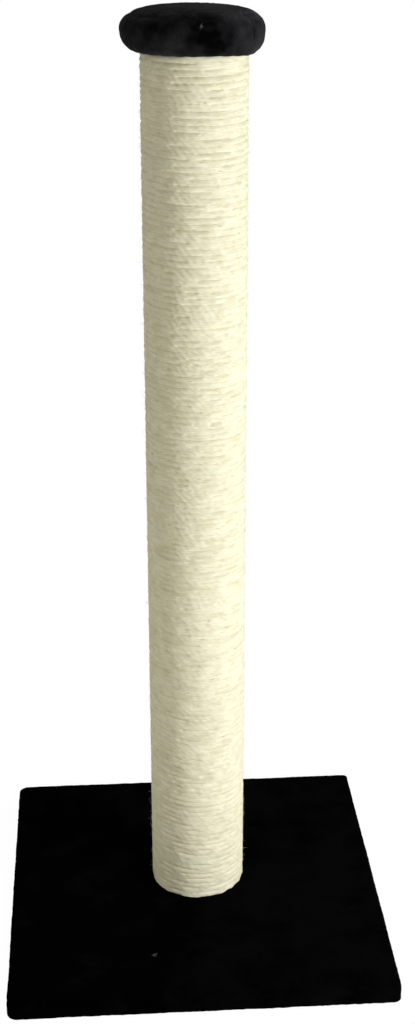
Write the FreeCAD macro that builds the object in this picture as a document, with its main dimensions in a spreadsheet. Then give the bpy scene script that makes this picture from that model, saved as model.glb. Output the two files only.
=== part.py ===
"""A cat scratching post: plush-covered base board, sisal-wound post and padded plush cap.

Millimetres, +Z up. The origin is the centre of the base's underside, and the front faces -Y.
"""
import FreeCAD, Part

import math
import os
import re

import Sketcher
from FreeCAD import Placement, Rotation, Vector

SIZES = {
    # base: a board in a plush cover whose hem is turned under it
    "base_width": 400,
    "base_depth": 400,
    "base_corner_radius": 8,
    "base_edge_radius": 3,
    "board_thickness": 15,
    "plush_thickness": 2.5,
    "hem_width": 30,
    # post: a cardboard tube with a wooden plug in each end, a little behind the middle of the base
    "post_right_of_centre": 5,
    "post_behind_centre": 14,
    "post_height": 897,
    "tube_diameter": 89,
    "tube_wall": 4.5,
    "plug_thickness": 18,
    "plug_clearance": 0.1,
    # rope wound round the tube
    "rope_diameter": 5.4,
    "turn_gap": 0.5,
    "rope_turns": 24,
    "soft_clearance": 0.3,
    # cap: a disc of board under foam, in a plush cover
    "cap_board_diameter": 105,
    "cap_board_thickness": 12,
    "cap_board_edge_radius": 2,
    "cap_bulge": 13,
    "cap_height": 40,
    "cap_crown": 6,
    "cap_shoulder_radius": 14,
    "cap_hem_width": 22,
    "foam_skirt": 8,
    # bolt and stud, both of one thread size, with their washer and tee nuts
    "thread_diameter": 8,
    "thread_clearance": 0.1,
    "thread_chamfer": 0.8,
    "bolt_reach": 3,
    "bolt_head_diameter": 15,
    "bolt_head_height": 4,
    "bolt_head_edge_radius": 1,
    "bolt_head_recess": 1,
    "socket_width": 5,
    "socket_depth": 2.5,
    "bolt_hole_clearance": 1,
    "washer_diameter": 20,
    "washer_thickness": 1.6,
    "counterbore_clearance": 2,
    "tee_flange_diameter": 22,
    "tee_flange_thickness": 1.5,
    "tee_barrel_diameter": 10,
    "tee_barrel_length": 9,
    "tee_hole_clearance": 0.4,
    "tee_prongs": 4,
    "prong_width": 3,
    "prong_thickness": 1.2,
    "prong_length": 6,
    # staples
    "staple_crown": 12,
    "staple_leg": 11,
    "staple_wire": 0.9,
    "staple_recess": 0.5,
    "dent_clearance": 0.2,
    "staple_inset": 8,
    "base_staple_pitch": 50,
    "cap_staples": 10,
    "plug_staples": 4,
    "rope_staples": 2,
    "rope_staple_pitch": 16,
}

# The rope winds left-handed: seen from the front, each turn comes down from left to right.
# Its ends are at the back.
WINDING_HAND = -1
ROPE_END_ANGLE = 90

# Heights above the floor and other sizes that several pieces share, from the driving dimensions.
BOARD_TOP = "(plush_thickness + board_thickness)"
BASE_TOP = f"({BOARD_TOP} + plush_thickness)"
POST_TOP = f"({BASE_TOP} + post_height)"
CAP_BOARD_TOP = f"({POST_TOP} + plush_thickness + cap_board_thickness)"
CAP_RADIUS = "(cap_board_diameter / 2 + cap_bulge)"
CROWN_RADIUS = f"(({CAP_RADIUS} ^ 2 + cap_crown ^ 2) / (2 * cap_crown))"
TOP_PLUG_BOTTOM = f"({POST_TOP} - plug_thickness)"
COUNTERBORE_DEPTH = "(washer_thickness + bolt_head_height + bolt_head_recess)"
WASHER_BOTTOM = f"(plush_thickness + {COUNTERBORE_DEPTH} - washer_thickness)"
BOLT_HOLE = "(thread_diameter + bolt_hole_clearance)"
TEE_HOLE = "(tee_barrel_diameter + tee_hole_clearance)"
WINDING_BORE = "(tube_diameter + 2 * soft_clearance)"
WINDING_DIAMETER = f"({WINDING_BORE} + 2 * rope_diameter)"
TURN_PITCH = "(rope_diameter + turn_gap)"
TURNS_HEIGHT = f"(rope_turns * {TURN_PITCH})"

document = FreeCAD.newDocument("scratching_post")


def make_sheet():
    """Put each driving dimension in a cell of its own, with its name as the alias."""
    cells = document.addObject("Spreadsheet::Sheet", "Sizes")
    for row, (alias, value) in enumerate(SIZES.items(), start=1):
        cells.set(f"A{row}", alias)
        cells.set(f"B{row}", str(value))
        cells.setAlias(f"B{row}", alias)
    document.recompute()
    return cells


sheet = make_sheet()


def from_sheet(expression):
    """An expression whose driving dimensions are read from the sheet."""

    def cell(word):
        return f"Sizes.{word[0]}" if word[0] in SIZES else word[0]

    return re.sub(r"[a-z_]+", cell, expression)


def value_of(expression):
    """The number that an expression of driving dimensions comes to."""
    return float(sheet.evalExpression(from_sheet(expression)))


def bind(item, name, expression):
    """Drive a property by an expression of driving dimensions."""
    item.setExpression(name, from_sheet(expression))


# Sketches and features ----------------------------------------------------------------------------


def stand_on_post(item, height):
    """Put an object's own origin on the post's axis, at a height."""
    bind(item, "Placement.Base.x", "post_right_of_centre")
    bind(item, "Placement.Base.y", "post_behind_centre")
    bind(item, "Placement.Base.z", height)


def new_body(label, height, on_post=True):
    """A body whose own origin is at a height on the post's axis, or on the base's."""
    body = document.addObject("PartDesign::Body", label)
    if on_post:
        stand_on_post(body, height)
    else:
        bind(body, "Placement.Base.z", height)
    return body


def new_sketch(body, name, plane="XY_Plane", offset="0"):
    """A sketch on one of the body's own origin planes, or parallel to it."""
    sketch = body.newObject("Sketcher::SketchObject", name)
    support = next(item for item in body.Origin.OriginFeatures if item.Role == plane)
    sketch.AttachmentSupport = (support, "")
    sketch.MapMode = "FlatFace"
    bind(sketch, "AttachmentOffset.Base.z", offset)
    return sketch


def constrain(sketch, kind, *arguments, to=None):
    """Add a constraint, whose size is an expression where it has one."""
    if to is None:
        sketch.addConstraint(Sketcher.Constraint(kind, *arguments))
        return
    index = sketch.addConstraint(Sketcher.Constraint(kind, *arguments, value_of(to)))
    bind(sketch, f"Constraints[{index}]", to)


def add_circle(sketch, diameter):
    """A circle round the sketch's origin."""
    circle = sketch.addGeometry(Part.Circle(Vector(), Vector(0, 0, 1), value_of(diameter) / 2))
    constrain(sketch, "Coincident", circle, 3, -1, 1)
    constrain(sketch, "Diameter", circle, to=diameter)


def add_rectangle(sketch, width, depth, centre_y="0"):
    """A rectangle centred on the sketch's Y axis."""
    half_width = value_of(width) / 2
    front_y = value_of(f"{centre_y} - {depth} / 2")
    back_y = value_of(f"{centre_y} + {depth} / 2")
    corners = (
        Vector(-half_width, front_y),
        Vector(half_width, front_y),
        Vector(half_width, back_y),
        Vector(-half_width, back_y),
    )
    sides = [sketch.addGeometry(Part.LineSegment(corners[i - 1], corners[i])) for i in range(4)]
    left, front, right, back = sides
    for i in range(4):
        constrain(sketch, "Coincident", sides[i - 1], 2, sides[i], 1)
    for side in (front, back):
        constrain(sketch, "Horizontal", side)
    for side in (left, right):
        constrain(sketch, "Vertical", side)
    constrain(sketch, "DistanceX", front, 1, front, 2, to=width)
    constrain(sketch, "DistanceY", right, 1, right, 2, to=depth)
    constrain(sketch, "DistanceX", -1, 1, front, 2, to=f"{width} / 2")
    constrain(sketch, "DistanceY", -1, 1, right, 2, to=f"{centre_y} + {depth} / 2")


def add_rounded_rectangle(sketch, width, depth, radius):
    """A rectangle round the sketch's origin with arcs at its corners, made side, arc, side, arc."""
    across, along, turn = value_of(width) / 2, value_of(depth) / 2, value_of(radius)
    sides = []
    arcs = []
    for quarter in range(4):
        reach, half_side = (along, across) if quarter % 2 == 0 else (across, along)
        spin = Rotation(Vector(0, 0, 1), 90 * quarter)
        start = spin.multVec(Vector(-half_side + turn, -reach))
        end = spin.multVec(Vector(half_side - turn, -reach))
        centre = spin.multVec(Vector(half_side - turn, -reach + turn))
        first_angle = math.radians(90 * (quarter - 1))
        circle = Part.Circle(centre, Vector(0, 0, 1), turn)
        sides.append(sketch.addGeometry(Part.LineSegment(start, end)))
        arcs.append(sketch.addGeometry(Part.ArcOfCircle(circle, first_angle, first_angle + math.pi / 2)))
    for quarter in range(4):
        constrain(sketch, "Tangent", sides[quarter], 2, arcs[quarter], 1)
        constrain(sketch, "Tangent", arcs[quarter - 1], 2, sides[quarter], 1)
    for arc in arcs[1:]:
        constrain(sketch, "Equal", arcs[0], arc)
    front, right, back, left = sides
    constrain(sketch, "Horizontal", front)
    constrain(sketch, "Vertical", right)
    constrain(sketch, "Radius", arcs[0], to=radius)
    constrain(sketch, "DistanceX", -1, 1, right, 1, to=f"{width} / 2")
    constrain(sketch, "DistanceX", left, 1, -1, 1, to=f"{width} / 2")
    constrain(sketch, "DistanceY", -1, 1, back, 1, to=f"{depth} / 2")
    constrain(sketch, "DistanceY", front, 1, -1, 1, to=f"{depth} / 2")


def add_hexagon(sketch, across_flats):
    """A regular hexagon round the sketch's origin."""
    across_corners = f"{across_flats} / cos(30 deg)"
    radius = value_of(across_corners) / 2
    corners = [Rotation(Vector(0, 0, 1), 60 * i).multVec(Vector(radius, 0)) for i in range(6)]
    sides = [sketch.addGeometry(Part.LineSegment(corners[i - 1], corners[i])) for i in range(6)]
    rim = sketch.addGeometry(Part.Circle(Vector(), Vector(0, 0, 1), radius), True)
    constrain(sketch, "Coincident", rim, 3, -1, 1)
    constrain(sketch, "Diameter", rim, to=across_corners)
    for i in range(6):
        constrain(sketch, "Coincident", sides[i - 1], 2, sides[i], 1)
        constrain(sketch, "PointOnObject", sides[i], 1, rim)
    for side in sides[1:]:
        constrain(sketch, "Equal", sides[0], side)
    constrain(sketch, "PointOnObject", sides[1], 1, -1)


def add_crowned_half(sketch, margin):
    """Half the cap's section, drawn in by a margin: flat below, with rounded sides and an arc over the top.

    The crown's centre lies on the axis, and the shoulder touches both the crown and the upright side.
    """
    inset = value_of(margin)
    radius, height = value_of(CAP_RADIUS), value_of("cap_height")
    foot, shoulder, crown = value_of("cap_bulge"), value_of("cap_shoulder_radius"), value_of(CROWN_RADIUS)
    crown_centre = Vector(0, height - crown)
    shoulder_rise = math.sqrt((crown - shoulder) ** 2 - (radius - shoulder) ** 2)
    shoulder_centre = crown_centre + Vector(radius - shoulder, shoulder_rise)
    shoulder_end = math.atan2(shoulder_rise, radius - shoulder)

    def arc(centre, arc_radius, first, last):
        circle = Part.Circle(centre, Vector(0, 0, 1), arc_radius - inset)
        return sketch.addGeometry(Part.ArcOfCircle(circle, first, last))

    def line(start, end):
        return sketch.addGeometry(Part.LineSegment(start, end))

    floor = line(Vector(0, inset), Vector(radius - foot, inset))
    foot_arc = arc(Vector(radius - foot, foot), foot, -math.pi / 2, 0)
    side = line(Vector(radius - inset, foot), Vector(radius - inset, shoulder_centre.y))
    shoulder_arc = arc(shoulder_centre, shoulder, 0, shoulder_end)
    crown_arc = arc(crown_centre, crown, shoulder_end, math.pi / 2)
    axis = line(Vector(0, height - inset), Vector(0, inset))
    outline = (floor, foot_arc, side, shoulder_arc, crown_arc)
    for item, following in zip(outline, outline[1:]):
        constrain(sketch, "Tangent", item, 2, following, 1)
    constrain(sketch, "Coincident", crown_arc, 2, axis, 1)
    constrain(sketch, "Coincident", axis, 2, floor, 1)
    constrain(sketch, "Horizontal", floor)
    constrain(sketch, "Vertical", side)
    constrain(sketch, "PointOnObject", crown_arc, 3, -2)
    constrain(sketch, "PointOnObject", axis, 1, -2)
    constrain(sketch, "PointOnObject", axis, 2, -2)
    constrain(sketch, "Radius", foot_arc, to=f"cap_bulge - {margin}")
    constrain(sketch, "Radius", shoulder_arc, to=f"cap_shoulder_radius - {margin}")
    constrain(sketch, "Radius", crown_arc, to=f"{CROWN_RADIUS} - {margin}")
    constrain(sketch, "DistanceX", -1, 1, side, 1, to=f"{CAP_RADIUS} - {margin}")
    constrain(sketch, "DistanceY", -1, 1, axis, 1, to=f"cap_height - {margin}")
    constrain(sketch, "DistanceY", -1, 1, floor, 1, to=margin)


def add_feature(body, kind, sketch, **properties):
    """A feature made from a sketch."""
    feature = body.newObject(f"PartDesign::{kind}", f"{sketch.Name}_{kind.lower()}")
    feature.Profile = sketch
    for name, value in properties.items():
        setattr(feature, name, value)
    return feature


def pad(body, sketch, length, downwards=False):
    """Raise a solid from a sketch, or lower it."""
    feature = add_feature(body, "Pad", sketch, Reversed=downwards)
    bind(feature, "Length", length)
    document.recompute()
    return feature


def pocket(body, sketch, depth, downwards=False):
    """Cut a sketch's outline out of a body, upwards unless it is told otherwise."""
    volume_before = body.Shape.Volume
    feature = add_feature(body, "Pocket", sketch, Reversed=not downwards)
    bind(feature, "Length", depth)
    document.recompute()
    if body.Shape.Volume >= volume_before:
        raise RuntimeError(f"{feature.Name} removed nothing")
    return feature


def turn_round(body, kind, sketch):
    """Turn a sketch on the XZ plane a whole turn round Z, to add a solid or, as a Groove, to cut one."""
    volume_before = body.Shape.Volume if kind == "Groove" else 0
    feature = add_feature(body, kind, sketch, ReferenceAxis=(sketch, ["V_Axis"]), Angle=360)
    document.recompute()
    if kind == "Groove" and body.Shape.Volume >= volume_before:
        raise RuntimeError(f"{feature.Name} removed nothing")
    return feature


def is_flat_at(height):
    """A test for edges that lie at one height."""
    return lambda edge: max(abs(edge.BoundBox.ZMin - height), abs(edge.BoundBox.ZMax - height)) < 1e-6


def is_rim(radius, height):
    """A test for the circle of a radius at a height."""
    level = is_flat_at(height)
    return lambda edge: level(edge) and abs(edge.BoundBox.XMax - radius) < 1e-4


def dress_edges(body, kind, base, wanted, amount):
    """Fillet or chamfer those edges of a feature that pass a test."""
    edges = [f"Edge{i}" for i, edge in enumerate(base.Shape.Edges, start=1) if wanted(edge)]
    feature = body.newObject(f"PartDesign::{kind}", f"{base.Name}_{kind.lower()}")
    feature.Base = (base, edges)
    bind(feature, "Radius" if kind == "Fillet" else "Size", amount)
    document.recompute()
    return feature


def new_shape(label, shape):
    """An object whose shape is worked out in code."""
    item = document.addObject("Part::Feature", label)
    item.Shape = shape
    return item


# Base ---------------------------------------------------------------------------------------------


def make_base_board():
    """Particle board with rounded corners, bored for the post's bolt and counterbored below for its head."""
    body = new_body("base_board", "plush_thickness", on_post=False)
    outline = new_sketch(body, "board_outline")
    add_rounded_rectangle(
        outline,
        "(base_width - 2 * plush_thickness)",
        "(base_depth - 2 * plush_thickness)",
        "(base_corner_radius - plush_thickness)",
    )
    pad(body, outline, "board_thickness")
    for name, diameter, depth in (
        ("bolt_hole", BOLT_HOLE, "board_thickness"),
        ("counterbore", "(washer_diameter + counterbore_clearance)", COUNTERBORE_DEPTH),
    ):
        hole = new_sketch(body, name)
        bind(hole, "AttachmentOffset.Base.x", "post_right_of_centre")
        bind(hole, "AttachmentOffset.Base.y", "post_behind_centre")
        add_circle(hole, diameter)
        pocket(body, hole, depth)
    return body


def base_staple_places():
    """Where the hem's staples go: a row along each side, their crowns along it, near the hem's raw edge."""
    pitch = value_of("base_staple_pitch")
    inset = value_of("hem_width - staple_inset")
    recess = value_of("staple_recess")
    places = []
    for quarter in range(4):
        length, reach = value_of("base_width"), value_of("base_depth")
        if quarter % 2:
            length, reach = reach, length
        each_way = int((length / 2 - value_of("hem_width + staple_crown")) // pitch)
        spin = Rotation(Vector(0, 0, 1), 90 * quarter)
        for step in range(-each_way, each_way + 1):
            corner = Vector(step * pitch, inset - reach / 2, recess)
            places.append(Placement(spin.multVec(corner), spin))
    return places


def make_base_cover():
    """Plush over the board's top and sides, turned under it as a hem, in which the staples leave dents."""
    body = new_body("base_cover_form", "0", on_post=False)
    outline = new_sketch(body, "cover_outline")
    add_rounded_rectangle(outline, "base_width", "base_depth", "base_corner_radius")
    block = pad(body, outline, BASE_TOP)
    for height in (0, value_of(BASE_TOP)):
        block = dress_edges(body, "Fillet", block, is_flat_at(height), "base_edge_radius")
    cavity = new_sketch(body, "board_cavity", offset="plush_thickness")
    add_rounded_rectangle(
        cavity,
        "(base_width - 2 * plush_thickness + 2 * soft_clearance)",
        "(base_depth - 2 * plush_thickness + 2 * soft_clearance)",
        "(base_corner_radius - plush_thickness + soft_clearance)",
    )
    pocket(body, cavity, "board_thickness")
    opening = new_sketch(body, "hem_opening")
    add_rectangle(opening, "(base_width - 2 * hem_width)", "(base_depth - 2 * hem_width)")
    pocket(body, opening, "plush_thickness")
    bolt_hole = new_sketch(body, "cover_bolt_hole", offset=BOARD_TOP)
    bind(bolt_hole, "AttachmentOffset.Base.x", "post_right_of_centre")
    bind(bolt_hole, "AttachmentOffset.Base.y", "post_behind_centre")
    add_circle(bolt_hole, BOLT_HOLE)
    pocket(body, bolt_hole, "plush_thickness")
    dents = new_shape("base_hem_dents", Part.makeCompound(staple_dents(base_staple_places())))
    return cut("base_plush_cover", body, dents)


def cut(label, body, tool):
    """One object cut out of another."""
    item = document.addObject("Part::Cut", label)
    item.Base = body
    item.Tool = tool
    document.recompute()
    return item


# Post ---------------------------------------------------------------------------------------------


def make_ring(label, height, bore, diameter, length):
    """A plain tube or washer."""
    body = new_body(label, height)
    section = new_sketch(body, f"{label}_section")
    add_circle(section, diameter)
    add_circle(section, bore)
    pad(body, section, length)
    return body


def make_plug(label, height):
    """A wooden disc that fits in the tube's end, bored for its tee nut."""
    return make_ring(
        label, height, TEE_HOLE, "(tube_diameter - 2 * tube_wall - 2 * plug_clearance)", "plug_thickness"
    )


def make_tee_nut(label, seat_height, upside_down=False):
    """A tee nut, whose flange lies on the wood at the seat's height, with its barrel and prongs in it."""
    body = new_body(label, seat_height)
    if upside_down:
        body.Placement.Rotation = Rotation(Vector(1, 0, 0), 180)
    flange = new_sketch(body, f"{label}_flange")
    add_circle(flange, "tee_flange_diameter")
    pad(body, flange, "tee_flange_thickness")
    barrel = new_sketch(body, f"{label}_barrel")
    add_circle(barrel, "tee_barrel_diameter")
    pad(body, barrel, "tee_barrel_length", downwards=True)
    bore = new_sketch(body, f"{label}_bore", offset="tee_flange_thickness")
    add_circle(bore, "(thread_diameter + thread_clearance)")
    pocket(body, bore, "tee_flange_thickness + tee_barrel_length", downwards=True)
    prong = new_sketch(body, f"{label}_prong")
    add_rectangle(prong, "prong_width", "prong_thickness", "(tee_flange_diameter / 2 - prong_thickness)")
    first_prong = pad(body, prong, "prong_length", downwards=True)
    prongs = body.newObject("PartDesign::PolarPattern", f"{label}_prongs")
    prongs.Originals = [first_prong]
    prongs.Axis = (prong, ["N_Axis"])
    prongs.Angle = 360
    bind(prongs, "Occurrences", "tee_prongs")
    body.Tip = prongs
    document.recompute()
    return body


def make_base_bolt():
    """The bolt that holds the post on, from the board's counterbore up through the bottom plug's tee nut."""
    body = new_body("base_bolt", WASHER_BOTTOM)
    head = new_sketch(body, "bolt_head")
    add_circle(head, "bolt_head_diameter")
    block = pad(body, head, "bolt_head_height", downwards=True)
    lower_rim = is_flat_at(value_of("-bolt_head_height"))
    dress_edges(body, "Fillet", block, lower_rim, "bolt_head_edge_radius")
    shank = new_sketch(body, "bolt_shank")
    add_circle(shank, "thread_diameter")
    tee_nut_top = f"({BASE_TOP} + plug_thickness + tee_flange_thickness)"
    length = f"({tee_nut_top} + bolt_reach - {WASHER_BOTTOM})"
    bolt = pad(body, shank, length)
    dress_edges(body, "Chamfer", bolt, is_flat_at(value_of(length)), "thread_chamfer")
    socket = new_sketch(body, "bolt_socket", offset="-bolt_head_height")
    add_hexagon(socket, "socket_width")
    pocket(body, socket, "socket_depth")
    return body


def make_cap_stud():
    """The stud that joins the cap to the post, from one tee nut's flange to the other's."""
    body = new_body("cap_stud", f"{TOP_PLUG_BOTTOM} - tee_flange_thickness")
    section = new_sketch(body, "stud_section")
    add_circle(section, "thread_diameter")
    length = "(plug_thickness + plush_thickness + cap_board_thickness + 2 * tee_flange_thickness)"
    rod = pad(body, section, length)
    for height in (0, value_of(length)):
        rod = dress_edges(body, "Chamfer", rod, is_flat_at(height), "thread_chamfer")
    return body


# Rope ---------------------------------------------------------------------------------------------


def arc_towards(start, corner, end):
    """The arc from start to end whose tangents at both meet at the corner."""
    to_start = (start - corner).normalize()
    to_end = (end - corner).normalize()
    half_angle = to_start.getAngle(to_end) / 2
    leg = start.distanceToPoint(corner)
    middle_direction = (to_start + to_end).normalize()
    centre = corner + middle_direction * (leg / math.cos(half_angle))
    middle = centre - middle_direction * (leg * math.tan(half_angle))
    return Part.Arc(start, middle, end).toShape()


def biarc(start, start_tangent, end, end_tangent):
    """Two arcs that leave start and reach end along unit tangents, and meet smoothly in between."""
    chord = end - start
    tangents = start_tangent + end_tangent
    square = 2 * (start_tangent.dot(end_tangent) - 1)
    linear = -2 * chord.dot(tangents)
    reach = (-linear - math.sqrt(linear**2 - 4 * square * chord.dot(chord))) / (2 * square)
    first_corner = start + start_tangent * reach
    second_corner = end - end_tangent * reach
    meeting = (first_corner + second_corner) / 2
    return [arc_towards(start, first_corner, meeting), arc_towards(meeting, second_corner, end)]


def winding_point(half_turns, radius, pitch):
    """A point of the rope's centre line, and the direction in which it runs there."""
    angle = half_turns * math.pi
    climb = pitch / (2 * math.pi)
    point = Vector(
        radius * math.cos(angle),
        WINDING_HAND * radius * math.sin(angle),
        climb * angle,
    )
    direction = Vector(
        -radius * math.sin(angle),
        WINDING_HAND * radius * math.cos(angle),
        climb,
    )
    return point, direction.normalize()


def least_gap(path, turns, diameter):
    """The least distance from one turn's surface to the next, measured on points of the centre line."""
    points_a_turn = 240
    points = path.discretize(Number=turns * points_a_turn)
    half = points_a_turn // 2
    pairs = ((i, j) for i in range(len(points)) for j in range(i + half, min(i + 3 * half, len(points))))
    return min(points[i].distanceToPoint(points[j]) for i, j in pairs) - diameter


def make_rope_turns():
    """The rope's uppermost turns, as one tube wound up the post, with a short straight end at each end."""
    turns = int(value_of("rope_turns"))
    diameter = value_of("rope_diameter")
    pitch = value_of(TURN_PITCH)
    radius = value_of(f"({WINDING_BORE} + rope_diameter) / 2")
    stations = [winding_point(half_turns, radius, pitch) for half_turns in range(2 * turns + 1)]
    start, start_direction = stations[0]
    end, end_direction = stations[-1]
    edges = [Part.LineSegment(start - start_direction * diameter, start).toShape()]
    for station, following in zip(stations, stations[1:]):
        edges += biarc(*station, *following)
    edges.append(Part.LineSegment(end, end + end_direction * diameter).toShape())
    path = Part.Wire(edges)
    section = Part.Circle(start - start_direction * diameter, start_direction, diameter / 2)
    pipe = Part.BRepOffsetAPI.MakePipeShell(path)
    pipe.add(Part.Wire([section.toShape()]))
    pipe.build()
    pipe.makeSolid()
    rope = new_shape("rope_top_turns", pipe.shape())
    rope.Placement = Placement(Vector(), Rotation(Vector(0, 0, 1), ROPE_END_ANGLE))
    stand_on_post(rope, f"{POST_TOP} - soft_clearance - rope_diameter / 2 - {TURNS_HEIGHT}")
    exact_volume = path.Length * math.pi * diameter**2 / 4
    print(f"rope turns: least gap {least_gap(path, turns, diameter):.2f} mm")
    print(f"rope turns: length {path.Length / 1000:.2f} m")
    print(f"rope turns: volume {rope.Shape.Volume / exact_volume:.4f} of section times length")
    return rope


def make_rope_lower_winding():
    """The rest of the winding, below those turns, as one plain sleeve of the rope's thickness."""
    height = f"(post_height - soft_clearance - {TURNS_HEIGHT} - rope_diameter - turn_gap)"
    return make_ring("rope_lower_winding", BASE_TOP, WINDING_BORE, WINDING_DIAMETER, height)


# Cap ----------------------------------------------------------------------------------------------


def add_crowned_disc(body, kind, name, margin):
    """The cap's crowned form, drawn in by a margin all round, added to a body or cut out of it."""
    section = new_sketch(body, name, plane="XZ_Plane")
    add_crowned_half(section, margin)
    turn_round(body, kind, section)


def make_cap_board():
    """The cap's wooden disc, bored for its tee nut, with its lower edge eased."""
    bottom = f"({POST_TOP} + plush_thickness)"
    body = make_ring("cap_board", bottom, TEE_HOLE, "cap_board_diameter", "cap_board_thickness")
    rim = is_rim(value_of("cap_board_diameter / 2"), 0)
    dress_edges(body, "Fillet", body.Tip, rim, "cap_board_edge_radius")
    return body


def make_cap_foam():
    """Foam that fills the cover over the board, and comes down round the board's edge as a skirt."""
    body = new_body("cap_foam", POST_TOP)
    add_crowned_disc(body, "Revolution", "foam_section", "(plush_thickness + soft_clearance)")
    board_top = "(plush_thickness + cap_board_thickness)"
    nut_top = f"({board_top} + tee_flange_thickness + soft_clearance)"
    for name, diameter, top in (
        ("below_skirt", f"(2 * {CAP_RADIUS})", f"({board_top} - foam_skirt)"),
        ("board_recess", "(cap_board_diameter + 2 * soft_clearance)", board_top),
        ("nut_recess", "(tee_flange_diameter + 2 * soft_clearance)", nut_top),
    ):
        recess = new_sketch(body, name)
        add_circle(recess, diameter)
        pocket(body, recess, top)
    return body


def cap_staple_places():
    """Where the cap hem's staples go: round a ring, set in from the hem's raw edge."""
    count = int(value_of("cap_staples"))
    radius = value_of("cap_board_diameter / 2 - cap_hem_width + staple_inset")
    places = []
    for step in range(count):
        spin = Rotation(Vector(0, 0, 1), 360 * step / count)
        places.append(Placement(spin.multVec(Vector(0, -radius, value_of("staple_recess"))), spin))
    return places


def make_cap_cover():
    """Plush over the foam, gathered under the board as a hem, with the staples' dents in the hem."""
    body = new_body("cap_cover_form", POST_TOP)
    add_crowned_disc(body, "Revolution", "cap_outside", "0")
    add_crowned_disc(body, "Groove", "cap_inside", "plush_thickness")
    opening = new_sketch(body, "cap_hem_opening")
    add_circle(opening, "(cap_board_diameter - 2 * cap_hem_width)")
    pocket(body, opening, "plush_thickness")
    dents = new_shape("cap_hem_dents", Part.makeCompound(staple_dents(cap_staple_places())))
    stand_on_post(dents, POST_TOP)
    return cut("cap_plush_cover", body, dents)


# Staples ------------------------------------------------------------------------------------------


def staple():
    """A staple of square wire: its crown along X with its back at the origin, and its legs along +Z."""
    half, leg, wire = value_of("staple_crown / 2"), value_of("staple_leg"), value_of("staple_wire")
    right_half = [(half, 0), (half, leg), (half - wire, leg), (half - wire, wire)]
    left_half = [(-x, z) for x, z in reversed(right_half)]
    corners = [Vector(x, -wire / 2, z) for x, z in right_half + left_half]
    outline = Part.makePolygon(corners + corners[:1])
    return Part.Face(outline).extrude(Vector(0, wire, 0))


def staple_dents(places):
    """The dents that staples press into a hem, from below it up to the inside of their crowns."""
    clearance, wire = value_of("dent_clearance"), value_of("staple_wire")
    length = value_of("staple_crown") + 2 * clearance
    width = wire + 2 * clearance
    depth = value_of("staple_recess") + wire
    corner = Vector(-length / 2, -width / 2, wire - 2 * depth)
    dent = Part.makeBox(length, width, 2 * depth, corner)
    return [dent.transformed(place.toMatrix()) for place in places]


def make_staples(label, places):
    """A group of like staples, each its own solid, placed from the post's axis or the base's."""
    staples = [staple().transformed(place.toMatrix()) for place in places]
    return new_shape(label, Part.makeCompound(staples))


def radial_place(angle, height, radius, upright):
    """A place on a cylinder where a staple's legs point at the axis, with its crown upright or level."""
    outwards = Rotation(Vector(0, 0, 1), angle).multVec(Vector(1, 0, 0))
    crown = Vector(0, 0, 1) if upright else outwards.cross(Vector(0, 0, 1))
    legs = -outwards
    turned = Rotation(crown, legs.cross(crown), legs, "ZXY")
    return Placement(outwards * radius + Vector(0, 0, height), turned)


def make_plug_staples():
    """Staples through the tube's wall into both plugs, their crowns sunk flush with the cardboard."""
    count = int(value_of("plug_staples"))
    radius = value_of("tube_diameter / 2")
    lower = value_of("plug_thickness / 2")
    upper = value_of("post_height") - lower
    places = [
        radial_place(360 * (step + 0.5) / count, height, radius, upright=True)
        for height in (lower, upper)
        for step in range(count)
    ]
    staples = make_staples("plug_staples", places)
    stand_on_post(staples, BASE_TOP)
    return staples


def make_rope_end_staples():
    """Staples that hold the rope's two ends, driven through it into the tube and the plug behind."""
    radius = value_of(f"{WINDING_DIAMETER} / 2")
    pitch = value_of("rope_staple_pitch")
    climb = value_of(TURN_PITCH) / (2 * math.pi * radius)
    first_turn = value_of("rope_diameter / 2")
    last_turn = value_of("post_height - soft_clearance") - first_turn
    places = []
    for end_height, along in ((first_turn, 1), (last_turn, -1)):
        for step in range(int(value_of("rope_staples"))):
            distance = (step + 0.5) * pitch * along
            angle = ROPE_END_ANGLE + WINDING_HAND * math.degrees(distance / radius)
            places.append(radial_place(angle, end_height + climb * distance, radius, upright=False))
    staples = make_staples("rope_end_staples", places)
    stand_on_post(staples, BASE_TOP)
    return staples


def make_cap_hem_staples():
    """The staples that hold the cap cover's hem under its board."""
    staples = make_staples("cap_hem_staples", cap_staple_places())
    stand_on_post(staples, POST_TOP)
    return staples


# The whole post -----------------------------------------------------------------------------------

pieces = [
    make_base_board(),
    make_base_cover(),
    make_staples("base_hem_staples", base_staple_places()),
    make_base_bolt(),
    make_ring("base_washer", WASHER_BOTTOM, BOLT_HOLE, "washer_diameter", "washer_thickness"),
    make_ring("post_tube", BASE_TOP, "(tube_diameter - 2 * tube_wall)", "tube_diameter", "post_height"),
    make_plug("bottom_plug", BASE_TOP),
    make_tee_nut("bottom_tee_nut", f"{BASE_TOP} + plug_thickness"),
    make_plug("top_plug", TOP_PLUG_BOTTOM),
    make_tee_nut("top_tee_nut", TOP_PLUG_BOTTOM, upside_down=True),
    make_plug_staples(),
    make_rope_lower_winding(),
    make_rope_turns(),
    make_rope_end_staples(),
    make_cap_board(),
    make_tee_nut("cap_tee_nut", CAP_BOARD_TOP),
    make_cap_stud(),
    make_cap_foam(),
    make_cap_cover(),
    make_cap_hem_staples(),
]
document.recompute()

for item in document.Objects:
    if "Invalid" in item.State or "Error" in item.State:
        raise RuntimeError(f"{item.Label} failed: {item.State}")
for piece in pieces:
    if piece.Shape.isNull() or not piece.Shape.isValid():
        raise RuntimeError(f"{piece.Label} has no valid shape")

os.makedirs("parts", exist_ok=True)
for piece in pieces:
    piece.Shape.exportStep(f"parts/{piece.Label}.step")
    print(f"{piece.Label}: {len(piece.Shape.Solids)} solid(s), {piece.Shape.Volume / 1000:.2f} cm3")
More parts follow.
